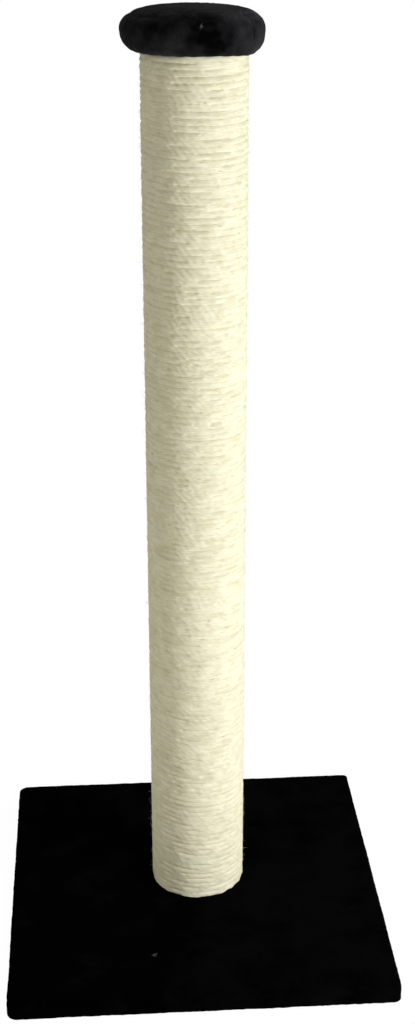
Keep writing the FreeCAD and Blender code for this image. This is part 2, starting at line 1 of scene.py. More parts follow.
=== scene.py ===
"""A cat scratching post, dressed for the camera: plush-covered base, sisal-wound post and padded plush cap.

Each section makes or finishes one piece, from the base up. Its sizes are in millimetres.
"""
import math

import bpy
import numpy as np
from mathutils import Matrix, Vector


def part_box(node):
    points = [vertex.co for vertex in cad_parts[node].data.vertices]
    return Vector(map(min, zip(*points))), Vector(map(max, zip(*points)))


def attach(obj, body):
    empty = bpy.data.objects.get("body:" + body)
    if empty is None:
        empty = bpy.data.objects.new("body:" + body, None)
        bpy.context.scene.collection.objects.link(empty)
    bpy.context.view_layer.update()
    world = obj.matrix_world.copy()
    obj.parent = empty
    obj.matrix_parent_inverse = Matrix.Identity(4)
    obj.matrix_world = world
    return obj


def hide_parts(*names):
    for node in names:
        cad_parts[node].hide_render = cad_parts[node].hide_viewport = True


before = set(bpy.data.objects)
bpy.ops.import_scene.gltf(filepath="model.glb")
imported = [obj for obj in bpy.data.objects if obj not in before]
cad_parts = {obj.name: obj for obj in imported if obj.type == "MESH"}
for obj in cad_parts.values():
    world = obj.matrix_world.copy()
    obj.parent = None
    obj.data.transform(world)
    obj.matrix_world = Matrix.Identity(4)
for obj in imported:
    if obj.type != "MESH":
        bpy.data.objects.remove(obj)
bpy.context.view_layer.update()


# Base board ----------------------------------------------------------------------------------
# A square of raw particle board, sawn to size and bored for the post's bolt. It is wood chips
# pressed with resin, and shows only from below, inside the cover's hem.

MM = 0.001
CHIP_LENGTH = 7
CHIP_STRETCH = 2.3
SAWDUST = 0.9


def linear(hex_colour):
    """An sRGB hex colour as linear red, green, blue and alpha."""
    srgb = np.array([int(hex_colour[i : i + 2], 16) for i in (1, 3, 5)]) / 255
    light = np.where(srgb <= 0.04045, srgb / 12.92, ((srgb + 0.055) / 1.055) ** 2.4)
    return (*light.tolist(), 1.0)


def new_material(name, shader):
    """A material whose shader has these values on its own sockets."""
    material = bpy.data.materials.new(name)
    material.use_nodes = True
    for socket, value in shader.items():
        material.node_tree.nodes["Principled BSDF"].inputs[socket].default_value = value
    return material


def add_node(material, kind, inputs=None, **settings):
    """Add a node to a material or world, with its settings and inputs; an input may be another's output."""
    tree = material.node_tree
    node = tree.nodes.new(f"ShaderNode{kind}")
    for name, value in settings.items():
        setattr(node, name, value)
    for name, value in (inputs or {}).items():
        if isinstance(value, bpy.types.NodeSocket):
            tree.links.new(value, node.inputs[name])
        else:
            node.inputs[name].default_value = value
    return node


def feed(material, **sources):
    """Link patterns to the shader's colour, roughness or normal."""
    sockets = {"colour": "Base Color", "roughness": "Roughness", "normal": "Normal"}
    shader = material.node_tree.nodes["Principled BSDF"]
    for name, output in sources.items():
        material.node_tree.links.new(output, shader.inputs[sockets[name]])


def per_mm(size):
    """The texture scale at which one cell or wave is that many millimetres."""
    return 1 / (size * MM)


def dress(node, material):
    """Give a frame node its finish."""
    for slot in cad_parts[node].material_slots:
        slot.material = material


def make_particle_board():
    """Pressed chips: flat flakes of many browns, with darker bark specks and a rough, open face."""
    material = new_material("raw_particle_board", {"Roughness": 0.85, "Specular IOR Level": 0.25})
    place = add_node(material, "TexCoord").outputs["Object"]
    laid = {"Vector": place, "Rotation": (0, 0, 0.6), "Scale": (1, CHIP_STRETCH, 1)}
    flat = add_node(material, "Mapping", laid)
    chips = add_node(
        material, "TexVoronoi", {"Vector": flat.outputs["Vector"], "Scale": per_mm(CHIP_LENGTH)}
    )
    chip_tone = add_node(material, "SeparateColor", {"Color": chips.outputs["Color"]}).outputs["Red"]
    wood = add_node(
        material,
        "MixRGB",
        {"Fac": chip_tone, "Color1": linear("#A9824F"), "Color2": linear("#DCC298")},
    )
    dust = add_node(
        material, "TexNoise", {"Vector": place, "Scale": per_mm(SAWDUST), "Detail": 4}
    ).outputs["Fac"]
    bark = add_node(
        material, "MapRange", {"Value": dust, "From Min": 0.6, "From Max": 0.72, "To Max": 0.7}
    ).outputs["Result"]
    specked = add_node(
        material,
        "MixRGB",
        {"Fac": bark, "Color1": wood.outputs["Color"], "Color2": linear("#6A4A2A")},
    )
    bump = add_node(material, "Bump", {"Height": dust, "Strength": 0.5, "Distance": 0.3 * MM})
    feed(material, colour=specked.outputs["Color"], normal=bump.outputs["Normal"])
    return material


particle_board = make_particle_board()
dress("base_board", particle_board)


# Base cover ----------------------------------------------------------------------------------
# One square of short-pile black plush, pulled over the board and its edges, folded at the
# corners and turned under as a hem. The pile lies in brushed patches, and its tufts show.

PLUSH_CELLS = 120
BASE_EDGE_RADIUS = 3
HEM_WIDTH = 30
RING_STEP = 1.6
HEM_STAPLE_PITCH = 50
HEM_STAPLE_REACH = 150
HEM_STAPLE_INSET = 22
HEM_STAPLE_HALF = 6
STAPLE_DIMPLE = 1.5
DIMPLE_SPREAD = 1.5
MITRE_DEPTH = 1.3
MITRE_WIDTH = 1.6
SIDE_CLEARANCE = 0.2
FACE_CLEARANCE = 0.05
PLUSH_PATCH = 48
PLUSH_PILE = 0.9
BOLT_HOLE_RADIUS = 4.5
BOLT_HOLE_CELLS = 3
# how round each corner's fold is: back right, back left, front left, front right
CORNER_RADII = (3.6, 9.5, 9.5, 7.0)


def box_mm(node):
    """A frame node's lowest and highest corners, in millimetres."""
    return [np.array(corner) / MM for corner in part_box(node)]


def noise_field(points, cell, seed):
    """Smooth noise from -1 to 1: random values on a cubic lattice, blended between by a smoothstep."""
    scaled = np.asarray(points, float) / cell
    low = np.floor(scaled)
    part = scaled - low
    part = part * part * (3 - 2 * part)
    total = np.zeros(len(scaled))
    for corner in np.ndindex(2, 2, 2):
        mixed = ((low + corner).astype(np.int64) * (73856093, 19349663, 83492791)).sum(axis=1)
        mixed = (mixed + seed * 2654435761).astype(np.uint64)
        mixed = (mixed ^ (mixed >> np.uint64(31))) * np.uint64(0x9E3779B97F4A7C15)
        mixed = (mixed ^ (mixed >> np.uint64(29))) * np.uint64(0xBF58476D1CE4E5B9)
        value = (mixed >> np.uint64(40)).astype(float) / 2**23 - 1
        total += value * np.prod(np.where(corner, part, 1 - part), axis=1)
    return total


def square_walk(half, cells, middle=(0, 0)):
    """The net's points on a square ring that many cells out from a middle, anticlockwise."""
    step = np.arange(8 * half)
    side, along = step // (2 * half), step % (2 * half) - half
    x = np.choose(side, [half, -along, -half, along]) + middle[0]
    y = np.choose(side, [along, half, -along, -half]) + middle[1]
    return (y + cells) * (2 * cells + 1) + x + cells


def cloth_net(cells):
    """A square net of cloth: each point's cell from the middle, and the quads that join them."""
    line = np.arange(-cells, cells + 1)
    x, y = (axis.ravel() for axis in np.meshgrid(line, line))
    width = 2 * cells + 1
    first = (np.arange(2 * cells)[:, None] * width + np.arange(2 * cells)).ravel()
    quads = np.stack([first, first + 1, first + 1 + width, first + width], axis=1)
    return np.stack([x, y], axis=1), quads


def ring_quads(rings):
    """Quads between each closed ring of points and the next one."""
    here, there = rings[:-1], rings[1:]
    return np.stack([here, there, np.roll(there, -1, 1), np.roll(here, -1, 1)], axis=2).reshape(-1, 4)


def rounded_square(direction, half_size, corner_radius):
    """Points of rounded squares: out to each side, along it at a steady rate, then round its corner."""
    reach = np.abs(direction).max(axis=1)
    share = np.abs(direction).min(axis=1) / np.maximum(reach, 1e-9)
    corner = np.maximum(corner_radius, 1e-6)
    straight = half_size - corner
    travelled = share * (straight + corner * math.pi / 4)
    turn = np.clip((travelled - straight) / corner, 0, math.pi / 4)
    across = straight + corner * np.cos(turn)
    beside = np.minimum(travelled, straight) + corner * np.sin(turn)
    sideways = np.abs(direction[:, 0]) >= np.abs(direction[:, 1])
    x = np.where(sideways, across, beside) * np.sign(direction[:, 0])
    y = np.where(sideways, beside, across) * np.sign(direction[:, 1])
    return np.stack([x, y], axis=1)


def wrapped_profile(distance, flat, top, top_radius, side, bottom_radius):
    """How far out and how high cloth lies, at a distance from the middle of the thing it wraps.

    It runs over the flat top, round the upper edge, down the side, round the lower edge, and back in.
    """
    over = np.clip(distance, 0, flat)
    upper_turn = np.clip((distance - flat) / top_radius, 0, math.pi / 2)
    after_turn = distance - flat - top_radius * math.pi / 2
    down = np.clip(after_turn, 0, side)
    lower_turn = np.clip((after_turn - side) / bottom_radius, 0, math.pi / 2)
    under = np.maximum(after_turn - side - bottom_radius * math.pi / 2, 0)
    out = over + top_radius * np.sin(upper_turn) - bottom_radius * (1 - np.cos(lower_turn)) - under
    height = top - top_radius * (1 - np.cos(upper_turn)) - down - bottom_radius * np.sin(lower_turn)
    return out, height


def new_piece(name, points, quads, triangles, material):
    """A smooth mesh object from points in millimetres and its faces' corners."""
    corners = np.concatenate([np.ravel(quads), np.ravel(triangles)]).astype(np.int32)
    sizes = np.repeat([4, 3], [len(quads), len(triangles)])
    mesh = bpy.data.meshes.new(name)
    mesh.vertices.add(len(points))
    mesh.vertices.foreach_set("co", (points * MM).astype(np.float32).ravel())
    mesh.loops.add(len(corners))
    mesh.loops.foreach_set("vertex_index", corners)
    mesh.polygons.add(len(sizes))
    mesh.polygons.foreach_set("loop_start", (np.cumsum(sizes) - sizes).astype(np.int32))
    mesh.update(calc_edges=True)
    mesh.shade_smooth()
    mesh.materials.append(material)
    piece = bpy.data.objects.new(name, mesh)
    bpy.context.scene.collection.objects.link(piece)
    return piece


def move_points(piece, places):
    """Put a piece's points at these places, in metres."""
    piece.data.vertices.foreach_set("co", places.astype(np.float32).ravel())
    piece.data.update()


def unit(vectors):
    """Vectors brought to a length of 1."""
    return vectors / np.linalg.norm(vectors, axis=1)[:, None]


def read_points(mesh, source="vertices", field="co"):
    """A mesh's points or normals as an array."""
    values = np.empty(len(getattr(mesh, source)) * 3, np.float32)
    getattr(mesh, source).foreach_get(field, values)
    return values.reshape(-1, 3).astype(float)


def plush_relief(points, seed):
    """How far the pile stands proud: tufts 2 to 6 mm across, and patches that were brushed flat."""
    tufts = 0.22 * noise_field(points, 2.7, seed) + 0.2 * noise_field(points, 6, seed + 1)
    return tufts + 0.3 * noise_field(points, 34, seed + 2)


def make_black_plush(name, upright, brushed, sheen, painted_light_slope):
    """Black polyester plush: its pile swallows light, with a faint sheen where it is seen from the side.

    Brushed patches turn it from dead black to charcoal. Painted light does too: a metre to the right adds
    that much to the patches' noise, so the side nearer the lamp is painted paler. The pile is 0.3 mm fine,
    and is drawn at 0.9 mm so that it shows.
    """
    material = new_material(
        name,
        {
            "Roughness": 1.0,
            "Specular IOR Level": 0.0,
            "Sheen Weight": sheen,
            "Sheen Roughness": 0.38,
            "Sheen Tint": linear("#DCDCE0"),
        },
    )
    place = add_node(material, "TexCoord").outputs["Object"]
    patches = add_node(
        material, "TexNoise", {"Vector": place, "Scale": per_mm(PLUSH_PATCH), "Detail": 3, "Roughness": 0.6}
    )
    # Painted light: the plush's colour grows paler towards the right, the side the lamp lights.
    rightwards = add_node(material, "SeparateXYZ", {"Vector": place}).outputs["X"]
    patches_and_painted_light = add_node(
        material, "Math", {0: rightwards, 1: painted_light_slope, 2: patches.outputs["Fac"]}, operation="MULTIPLY_ADD"
    )
    nap_and_painted_light = add_node(
        material, "MapRange", {"Value": patches_and_painted_light.outputs["Value"], "From Min": 0.42, "From Max": 0.66}
    )
    pile = add_node(
        material, "TexNoise", {"Vector": place, "Scale": per_mm(PLUSH_PILE), "Detail": 2, "Roughness": 0.7}
    )
    nap_and_painted_light_colour = add_node(
        material,
        "MixRGB",
        {"Fac": nap_and_painted_light.outputs["Result"], "Color1": linear(upright), "Color2": linear(brushed)},
    )
    speckled = add_node(
        material,
        "MixRGB",
        {"Fac": pile.outputs["Fac"], "Color1": linear("#010101"), "Color2": nap_and_painted_light_colour.outputs["Color"]},
    )
    bump = add_node(
        material, "Bump", {"Height": pile.outputs["Fac"], "Strength": 0.8, "Distance": 0.5 * MM}
    )
    feed(material, colour=speckled.outputs["Color"], normal=bump.outputs["Normal"])
    return material


# The base's copy of the plush is painted darker than the cap's. This is painted shade for cloth lying flat,
# away from the lamp.
black_plush = make_black_plush("black_base_plush", "#020202", "#0E0E0E", 0.012, 0.7)
base_low, base_high = box_mm("base_plush_cover")
board_low, board_high = box_mm("base_board")
tube_low, tube_high = box_mm("post_tube")
post_axis = (tube_low + tube_high)[:2] / 2
rope_radius = (box_mm("rope_top_turns")[1] - box_mm("rope_top_turns")[0])[0] / 2


def hem_dimples(points):
    """How far the hem is drawn up at each staple: deepest along its crown, fading over 2 mm."""
    deepest = np.zeros(len(points))
    for x, y in ((0, 1), (1, 0)):
        along, across = points[:, x], np.abs(points[:, y])
        nearest = np.clip(
            np.round(along / HEM_STAPLE_PITCH) * HEM_STAPLE_PITCH, -HEM_STAPLE_REACH, HEM_STAPLE_REACH
        )
        past_end = np.maximum(np.abs(along - nearest) - HEM_STAPLE_HALF, 0)
        aside = across - (base_high[0] - HEM_STAPLE_INSET)
        deepest = np.maximum(deepest, np.exp(-(past_end**2 + aside**2) / (2 * DIMPLE_SPREAD**2)))
    return STAPLE_DIMPLE * deepest


def zip_rings(outer, inner):
    """Triangles that close the flat between a large ring and a small one, facing down."""
    step = np.arange(len(outer))
    partner = step * len(inner) // len(outer)
    wide = np.stack([inner[partner], np.roll(outer, -1), outer], axis=1)
    turn = np.arange(len(inner))
    meeting = -(-(turn + 1) * len(outer) // len(inner)) % len(outer)
    narrow = np.stack([inner, np.roll(inner, -1), outer[meeting]], axis=1)
    return np.concatenate([wide, narrow])


def make_base_cover():
    """The cover: a net over the board with rings down its sides and under it, and its inside."""
    half = base_high[0]
    cell, quads = cloth_net(PLUSH_CELLS)
    ring = np.abs(cell).max(axis=1)
    flat = half - BASE_EDGE_RADIUS
    side = base_high[2] - base_low[2] - 2 * BASE_EDGE_RADIUS
    reach = flat + BASE_EDGE_RADIUS * math.pi + side + HEM_WIDTH - BASE_EDGE_RADIUS
    edge = square_walk(PLUSH_CELLS, PLUSH_CELLS)
    ring_count = int((reach - flat) / RING_STEP)
    ring_distance = np.linspace(flat, reach, ring_count + 1)[1:]
    distance = np.concatenate([ring / PLUSH_CELLS * flat, np.repeat(ring_distance, len(edge))])
    direction = np.concatenate([cell, np.tile(cell[edge], (ring_count, 1))])
    out, height = wrapped_profile(distance, flat, base_high[2], BASE_EDGE_RADIUS, side, BASE_EDGE_RADIUS)

    right, back = direction[:, 0] >= 0, direction[:, 1] >= 0
    fold = np.select([right & back, ~right & back, ~right & ~back, right & ~back], CORNER_RADII)
    drawn_in = np.clip((half - out) / BASE_EDGE_RADIUS, 0, None)
    corner = (fold - BASE_EDGE_RADIUS) * np.exp(-0.02 * drawn_in) + np.sqrt(
        np.clip(BASE_EDGE_RADIUS**2 - np.clip(half - out, 0, BASE_EDGE_RADIUS) ** 2, 0.04, None)
    )
    corner = np.minimum(corner, out * 0.9)
    flat_place = rounded_square(direction, out, corner)
    points = np.column_stack([flat_place, height])

    hole_cell = np.round(post_axis / flat * PLUSH_CELLS).astype(int)
    from_hole = points[:, :2] - post_axis
    square_reach = np.abs(from_hole).max(axis=1)
    circle_share = square_reach / np.maximum(np.linalg.norm(from_hole, axis=1), 1e-9)
    fade = np.clip((square_reach - BOLT_HOLE_RADIUS) / 12, 0, 1)
    on_top = np.arange(len(points)) < len(cell)
    points[on_top, :2] = (post_axis + from_hole * (circle_share * (1 - fade) + fade)[:, None])[on_top]
    hole = square_walk(BOLT_HOLE_CELLS, PLUSH_CELLS, hole_cell)
    rim_direction = unit(points[hole, :2] - post_axis)
    points[hole, :2] = post_axis + BOLT_HOLE_RADIUS * rim_direction
    first_cell = cell[quads[:, 0]] - hole_cell
    in_hole = (first_cell >= -BOLT_HOLE_CELLS).all(axis=1) & (first_cell < BOLT_HOLE_CELLS).all(axis=1)
    quads = quads[~in_hole]

    outside = len(points)
    rings = [edge] + list(np.arange(len(cell), outside).reshape(ring_count, len(edge)))
    inner_half = board_high[0] + SIDE_CLEARANCE
    inner_rings = (
        (half - HEM_WIDTH, board_low[2] - FACE_CLEARANCE),
        (inner_half, board_low[2] - FACE_CLEARANCE),
        (inner_half, board_high[2] + FACE_CLEARANCE),
    )
    for half_size, level in inner_rings:
        rings.append(np.arange(len(points), len(points) + len(edge)))
        tight = np.full(len(edge), 1.2) if half_size < inner_half else fold[edge] - 1.6
        place = rounded_square(cell[edge], np.full(len(edge), half_size), tight)
        points = np.concatenate([points, np.column_stack([place, np.full(len(edge), level)])])
    lower_hole = np.arange(len(points), len(points) + len(hole))
    points = np.concatenate([points, points[hole] - (0, 0, base_high[2] - inner_rings[-1][1])])
    bore = np.stack([hole, np.roll(hole, -1), np.roll(lower_hole, -1), lower_hole], axis=1)
    quads = np.concatenate([quads, ring_quads(np.array(rings)), bore])
    triangles = zip_rings(rings[-1], lower_hole)
    cover = new_piece("base_plush", points, quads, triangles, black_plush)

    normals = read_points(cover.data, "vertex_normals", "vector")[:outside]
    skin = points[:outside]
    from_post = np.linalg.norm(skin[:, :2] - post_axis, axis=1)
    under_post = np.clip((from_post - rope_radius) / 3, 0, 1) * (skin[:, 2] > board_high[2])
    loose = np.where(skin[:, 2] > base_high[2] - 1, under_post, 1)
    edge_fade = np.clip((reach - distance) / 4, 0.2, 1)
    relief = plush_relief(skin, 11) * loose * edge_fade
    skin = skin + normals * relief[:, None]
    below = skin[:, 2] < board_low[2]
    mitre = np.abs(np.abs(skin[:, 0]) - np.abs(skin[:, 1]))
    inside_edge = np.abs(skin[:, :2]).max(axis=1) < half - 2
    crease = MITRE_DEPTH * np.exp(-((mitre / MITRE_WIDTH) ** 2)) * inside_edge
    lifted = hem_dimples(skin) + crease + np.clip(skin[:, 2], 0.02, None)
    skin[:, 2] = np.where(below, np.minimum(lifted, board_low[2] - 0.6), skin[:, 2])
    points[:outside] = skin
    move_points(cover, points * MM)
    return cover


base_cover = make_base_cover()
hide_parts("base_plush_cover")
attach(base_cover, "root")


# Fasteners -----------------------------------------------------------------------------------
# The bolt, washer, tee nuts and stud are zinc-plated steel, and the staples are galvanised wire.
# Both are pale grey metal, satin from the plating bath, with fine scuffs from handling.

SCUFF = 1.4


def make_plated_steel(name, colour, roughness):
    """Zinc on steel: an even pale grey metal, a little duller in patches, finely scuffed."""
    material = new_material(name, {"Metallic": 1.0})
    place = add_node(material, "TexCoord").outputs["Object"]
    scuffs = add_node(
        material, "TexNoise", {"Vector": place, "Scale": per_mm(SCUFF), "Detail": 5, "Roughness": 0.7}
    ).outputs["Fac"]
    tone = add_node(
        material, "MixRGB", {"Fac": scuffs, "Color1": linear("#A9ADB1"), "Color2": linear(colour)}
    )
    dullness = add_node(
        material, "MapRange", {"Value": scuffs, "To Min": roughness - 0.1, "To Max": roughness + 0.16}
    )
    bump = add_node(material, "Bump", {"Height": scuffs, "Strength": 0.15, "Distance": 0.05 * MM})
    feed(
        material,
        colour=tone.outputs["Color"],
        roughness=dullness.outputs["Result"],
        normal=bump.outputs["Normal"],
    )
    return material


zinc_plate = make_plated_steel("zinc_plated_steel", "#D6DADD", 0.34)
staple_wire = make_plated_steel("galvanised_staple_wire", "#C9CDCF", 0.4)
for plated in ("base_bolt", "base_washer", "bottom_tee_nut", "top_tee_nut", "cap_tee_nut", "cap_stud"):
    dress(plated, zinc_plate)
for stapled in ("base_hem_staples", "plug_staples", "rope_end_staples", "cap_hem_staples"):
    dress(stapled, staple_wire)


# Tube and plugs ------------------------------------------------------------------------------
# The post's core is a spirally wound paper tube, brown kraft with a thin gap at each ply's edge.
# A turned softwood plug is stapled into each end of it.

PLY_PITCH = 75
FIBRE_GRAIN = 1.1
GROWTH_RING = 4


def make_kraft_paper():
    """Wound kraft paper: mottled brown, with a spiral line where each ply meets the next."""
    material = new_material("wound_kraft_paper", {"Roughness": 0.8, "Specular IOR Level": 0.3})
    place = add_node(material, "TexCoord").outputs["Object"]
    centred = add_node(
        material, "Mapping", {"Vector": place, "Location": (*(-post_axis * MM), 0)}
    ).outputs["Vector"]
    round_axis = add_node(
        material, "TexGradient", {"Vector": centred}, gradient_type="RADIAL"
    ).outputs["Fac"]
    height = add_node(material, "SeparateXYZ", {"Vector": centred}).outputs["Z"]
    climb = add_node(
        material, "Math", {0: height, 1: 1 / (PLY_PITCH * MM), 2: round_axis}, operation="MULTIPLY_ADD"
    )
    within_ply = add_node(material, "Math", {0: climb.outputs["Value"]}, operation="FRACT")
    seam = add_node(
        material, "MapRange", {"Value": within_ply.outputs["Value"], "From Min": 0.985, "From Max": 0.995}
    )
    mottle = add_node(
        material, "TexNoise", {"Vector": place, "Scale": per_mm(FIBRE_GRAIN), "Detail": 5}
    ).outputs["Fac"]
    paper = add_node(
        material, "MixRGB", {"Fac": mottle, "Color1": linear("#8F6E48"), "Color2": linear("#B8946A")}
    )
    seamed = add_node(
        material,
        "MixRGB",
        {"Fac": seam.outputs["Result"], "Color1": paper.outputs["Color"], "Color2": linear("#5E4529")},
    )
    bump = add_node(material, "Bump", {"Height": mottle, "Strength": 0.3, "Distance": 0.1 * MM})
    feed(material, colour=seamed.outputs["Color"], normal=bump.outputs["Normal"])
    return material


def make_softwood():
    """Turned softwood: pale heartwood with its growth rings, and fine pores across the cut face."""
    material = new_material("turned_softwood", {"Roughness": 0.65, "Specular IOR Level": 0.35})
    place = add_node(material, "TexCoord").outputs["Object"]
    grain = add_node(
        material,
        "TexWave",
        {"Vector": place, "Scale": per_mm(GROWTH_RING) / 20, "Distortion": 3, "Detail": 3, "Detail Scale": 2},
        wave_type="RINGS",
        rings_direction="Y",
    ).outputs["Fac"]
    wood = add_node(
        material, "MixRGB", {"Fac": grain, "Color1": linear("#C79E6A"), "Color2": linear("#E3C596")}
    )
    bump = add_node(material, "Bump", {"Height": grain, "Strength": 0.2, "Distance": 0.1 * MM})
    feed(material, colour=wood.outputs["Color"], normal=bump.outputs["Normal"])
    return material


dress("post_tube", make_kraft_paper())
softwood = make_softwood()
for plug in ("bottom_plug", "top_plug"):
    dress(plug, softwood)


# Sisal rope ----------------------------------------------------------------------------------
# About 45 m of three-strand sisal rope, wound up the tube under tension with its turns touching.
# It climbs from right to left across the front, and both its ends are stapled at the back.

ROPE_DIAMETER = 5.4
WOUND_TURNS = 151
STRANDS = 3
LAY_LENGTH = 21
STRAND_DEPTHS = (0.13, 0.21)
OUTER_POINTS = 9
SECTION_POINTS = 12
SECTION_SPACING = 1.72
ROUNDEST_SECTION = 1.7
SQUAREST_SECTION = 9
GROOVE_FILL = 0.42
FILL_LOST_WHEN_LOOSE = 0.28
DASH_LENGTH = 10
DASH_FLATNESS = 2
DASH_STRENGTH = 2.1
PATCH_LENGTH = 52
PATCH_STRENGTH = 0.8
ROPE_WANDER = 0.3
WANDER_LENGTH = 62
UNEVEN_LAY = 0.5
UNEVEN_LAY_LENGTH = 140
STRAND_BUMP = 0.05
STRAND_BUMP_LENGTH = 9
ROPE_BUMP = 0.06
ROPE_BUMP_LENGTH = 17
TURN_SQUEEZE = 1.22
TURN_OVERLAP = 1.02
LOOSE_HEIGHTS = (200, 700)
ROPE_END_ANGLE = math.pi / 2
ROPE_PARTS = 4
LEVEL_TURNS = 15
SHORTEST_STEP = 0.15
# length, width, detail and roughness of the fibre bundles, of the brown batches and of the bark flecks
SISAL_PATTERNS = ((14, 0.7, 3, 0.65), (60, 9, 2, 0.5), (11, 2.2, 1, 0.5))
HANDLED_PATCH = 13

rope_low, rope_high = box_mm("rope_lower_winding")[0], box_mm("rope_top_turns")[1]
line_radius = rope_radius - ROPE_DIAMETER / 2
first_height = rope_low[2] + ROPE_DIAMETER / 2
last_height = rope_high[2] - ROPE_DIAMETER / 2
turn_pitch = (last_height - first_height) / WOUND_TURNS
turn_length = math.hypot(2 * math.pi * line_radius, turn_pitch)
rope_length = turn_length * WOUND_TURNS


def turns_climbed(turn):
    """How many pitches the rope has climbed after so many turns.

    In between it climbs steadily. Towards each end its turns lie ever more level, and step up at the back.
    """
    whole, part = np.floor(turn), turn % 1
    from_start, from_end = whole / LEVEL_TURNS, (WOUND_TURNS - 1 - whole) / LEVEL_TURNS
    step = np.clip(SHORTEST_STEP + (1 - SHORTEST_STEP) * np.minimum(from_start, from_end), SHORTEST_STEP, 1)
    late, early = np.clip((part - 1 + step) / step, 0, 1), np.clip(part / step, 0, 1)
    return whole + np.where(from_start < from_end, late, early)


def turn_spacing(distance):
    """How far, in pitches, each point of the rope is from the turns below and above it."""
    turn = distance / turn_length
    here = turns_climbed(np.minimum(turn, WOUND_TURNS - 1e-6))
    below = np.where(turn > 1, here - turns_climbed(turn - 1), 1)
    above = np.where(turn < WOUND_TURNS - 1.001, turns_climbed(turn + 1) - here, 1)
    return below, above


def looseness(height):
    """How loosely the rope is wound, from 0 low on the post to 1 near its top."""
    low, high = LOOSE_HEIGHTS
    share = np.clip((height - low) / (high - low), 0, 1)
    return share * share * (3 - 2 * share)


def rope_line(distance):
    """The rope's centre line at distances from its lower end, and its directions outward, upward and forward.

    It is a helix that climbs clockwise as seen from above, and its turns wander up and down a little.
    """
    angle = ROPE_END_ANGLE - 2 * math.pi * distance / turn_length
    climb = turn_pitch / turn_length
    outwards = np.stack([np.cos(angle), np.sin(angle), np.zeros_like(angle)], axis=-1)
    height = first_height + turn_pitch * turns_climbed(np.minimum(distance / turn_length, WOUND_TURNS - 1e-6))
    steady = outwards * line_radius + np.stack([0 * angle, 0 * angle, height], axis=-1)
    ends = np.clip(np.minimum(distance, rope_length - distance) / turn_length, 0, 1)
    uneven = noise_field(steady.reshape(-1, 3), WANDER_LENGTH, 21).reshape(angle.shape)
    wander = ROPE_WANDER * uneven * ends
    centre = steady + (*post_axis, 0) + np.stack([0 * angle, 0 * angle, wander], axis=-1)
    level = 2 * math.pi * line_radius / turn_length
    forwards = np.stack([np.sin(angle) * level, -np.cos(angle) * level, np.full_like(angle, climb)], axis=-1)
    upwards = np.cross(forwards, outwards)
    return centre, outwards, upwards, forwards


def section_outline():
    """The section's points before it is squeezed: out from the tube and up, as shares, and their angles.

    Nine lie on the outside, closest together beside the grooves, and three on the hidden side by the tube.
    """
    outer_up = np.sin(np.linspace(-math.pi / 2, math.pi / 2, OUTER_POINTS))
    out = np.concatenate([np.ones(OUTER_POINTS), [-0.6, -1, -0.6]])
    up = np.concatenate([outer_up, [0.75, 0, -0.75]])
    angle = np.concatenate([math.radians(48) * outer_up, np.radians([124, 180, 236])])
    return out, up, angle


def groove_fill(centre, upwards, to_groove):
    """How full the groove beside a turn is, from 0 to 1, which both turns that meet in it share.

    It is noise at the groove itself, so the groove opens and closes in dashes. It is more open where the rope
    is loose.
    """
    beside = centre[:, None] + to_groove[..., None] * upwards[:, None]
    dashes = noise_field((beside * (1, 1, DASH_FLATNESS)).reshape(-1, 3), DASH_LENGTH, 25)
    patches = noise_field(beside.reshape(-1, 3), PATCH_LENGTH, 26)
    usual = GROOVE_FILL - FILL_LOST_WHEN_LOOSE * looseness(beside[..., 2])
    return np.clip(usual + (DASH_STRENGTH * dashes + PATCH_STRENGTH * patches).reshape(usual.shape), 0, 1)


def strand_relief(distance, angle, depth):
    """How thick the rope is at each point, as a share: a lobe for each strand, no two of them alike."""
    line = np.stack([distance, 0 * distance, 0 * distance], axis=1)
    uneven_lay = UNEVEN_LAY * noise_field(line, UNEVEN_LAY_LENGTH, 22)
    twist = 2 * math.pi * (distance / LAY_LENGTH + uneven_lay)
    around_strands = (angle - twist[:, None]) * STRANDS / (2 * math.pi)
    lobe = 1 - depth[:, None] * (1 - np.abs(np.cos(math.pi * around_strands)) ** 1.2)
    along = np.repeat(distance[:, None], len(angle), axis=1)
    strand = np.stack([along, 40 * (np.floor(around_strands + 0.5) % STRANDS), 0 * along], axis=-1)
    strand_noise = noise_field(strand.reshape(-1, 3), STRAND_BUMP_LENGTH, 23)
    rope_noise = noise_field(strand.reshape(-1, 3) * (1, 0, 0), ROPE_BUMP_LENGTH, 24)
    return lobe * (1 + STRAND_BUMP * strand_noise + ROPE_BUMP * rope_noise).reshape(along.shape)


def rope_surface(distance):
    """Rings of points round the rope, and their places along and round it.

    The turns press on each other, flat where they meet, half way between their lines. Outside, each is the
    superellipse (x/out)^n + (y/up)^n = 1 in section, which is squarer where its groove is fuller.
    """
    centre, outwards, upwards = rope_line(distance)[:3]
    out, up, angle = section_outline()
    below, above = turn_spacing(distance)
    half_way = turn_pitch / 2 * np.where(up < 0, below[:, None], above[:, None])
    fill = groove_fill(centre, upwards, half_way * np.sign(up))
    power = ROUNDEST_SECTION * (SQUAREST_SECTION / ROUNDEST_SECTION) ** fill
    bulge = np.where(out > 0, (1 - np.abs(up / TURN_SQUEEZE) ** power) ** (1 / power), 1)
    depth = np.interp(looseness(centre[:, 2]), (0, 1), STRAND_DEPTHS)
    reach = ROPE_DIAMETER / 2 * out * bulge * strand_relief(distance, angle, depth)
    meeting = TURN_OVERLAP * half_way * up
    points = centre[:, None] + reach[..., None] * outwards[:, None] + meeting[..., None] * upwards[:, None]
    along = np.repeat(distance[:, None], SECTION_POINTS, axis=1)
    return points, along, ROPE_DIAMETER / 2 * angle + 0 * along


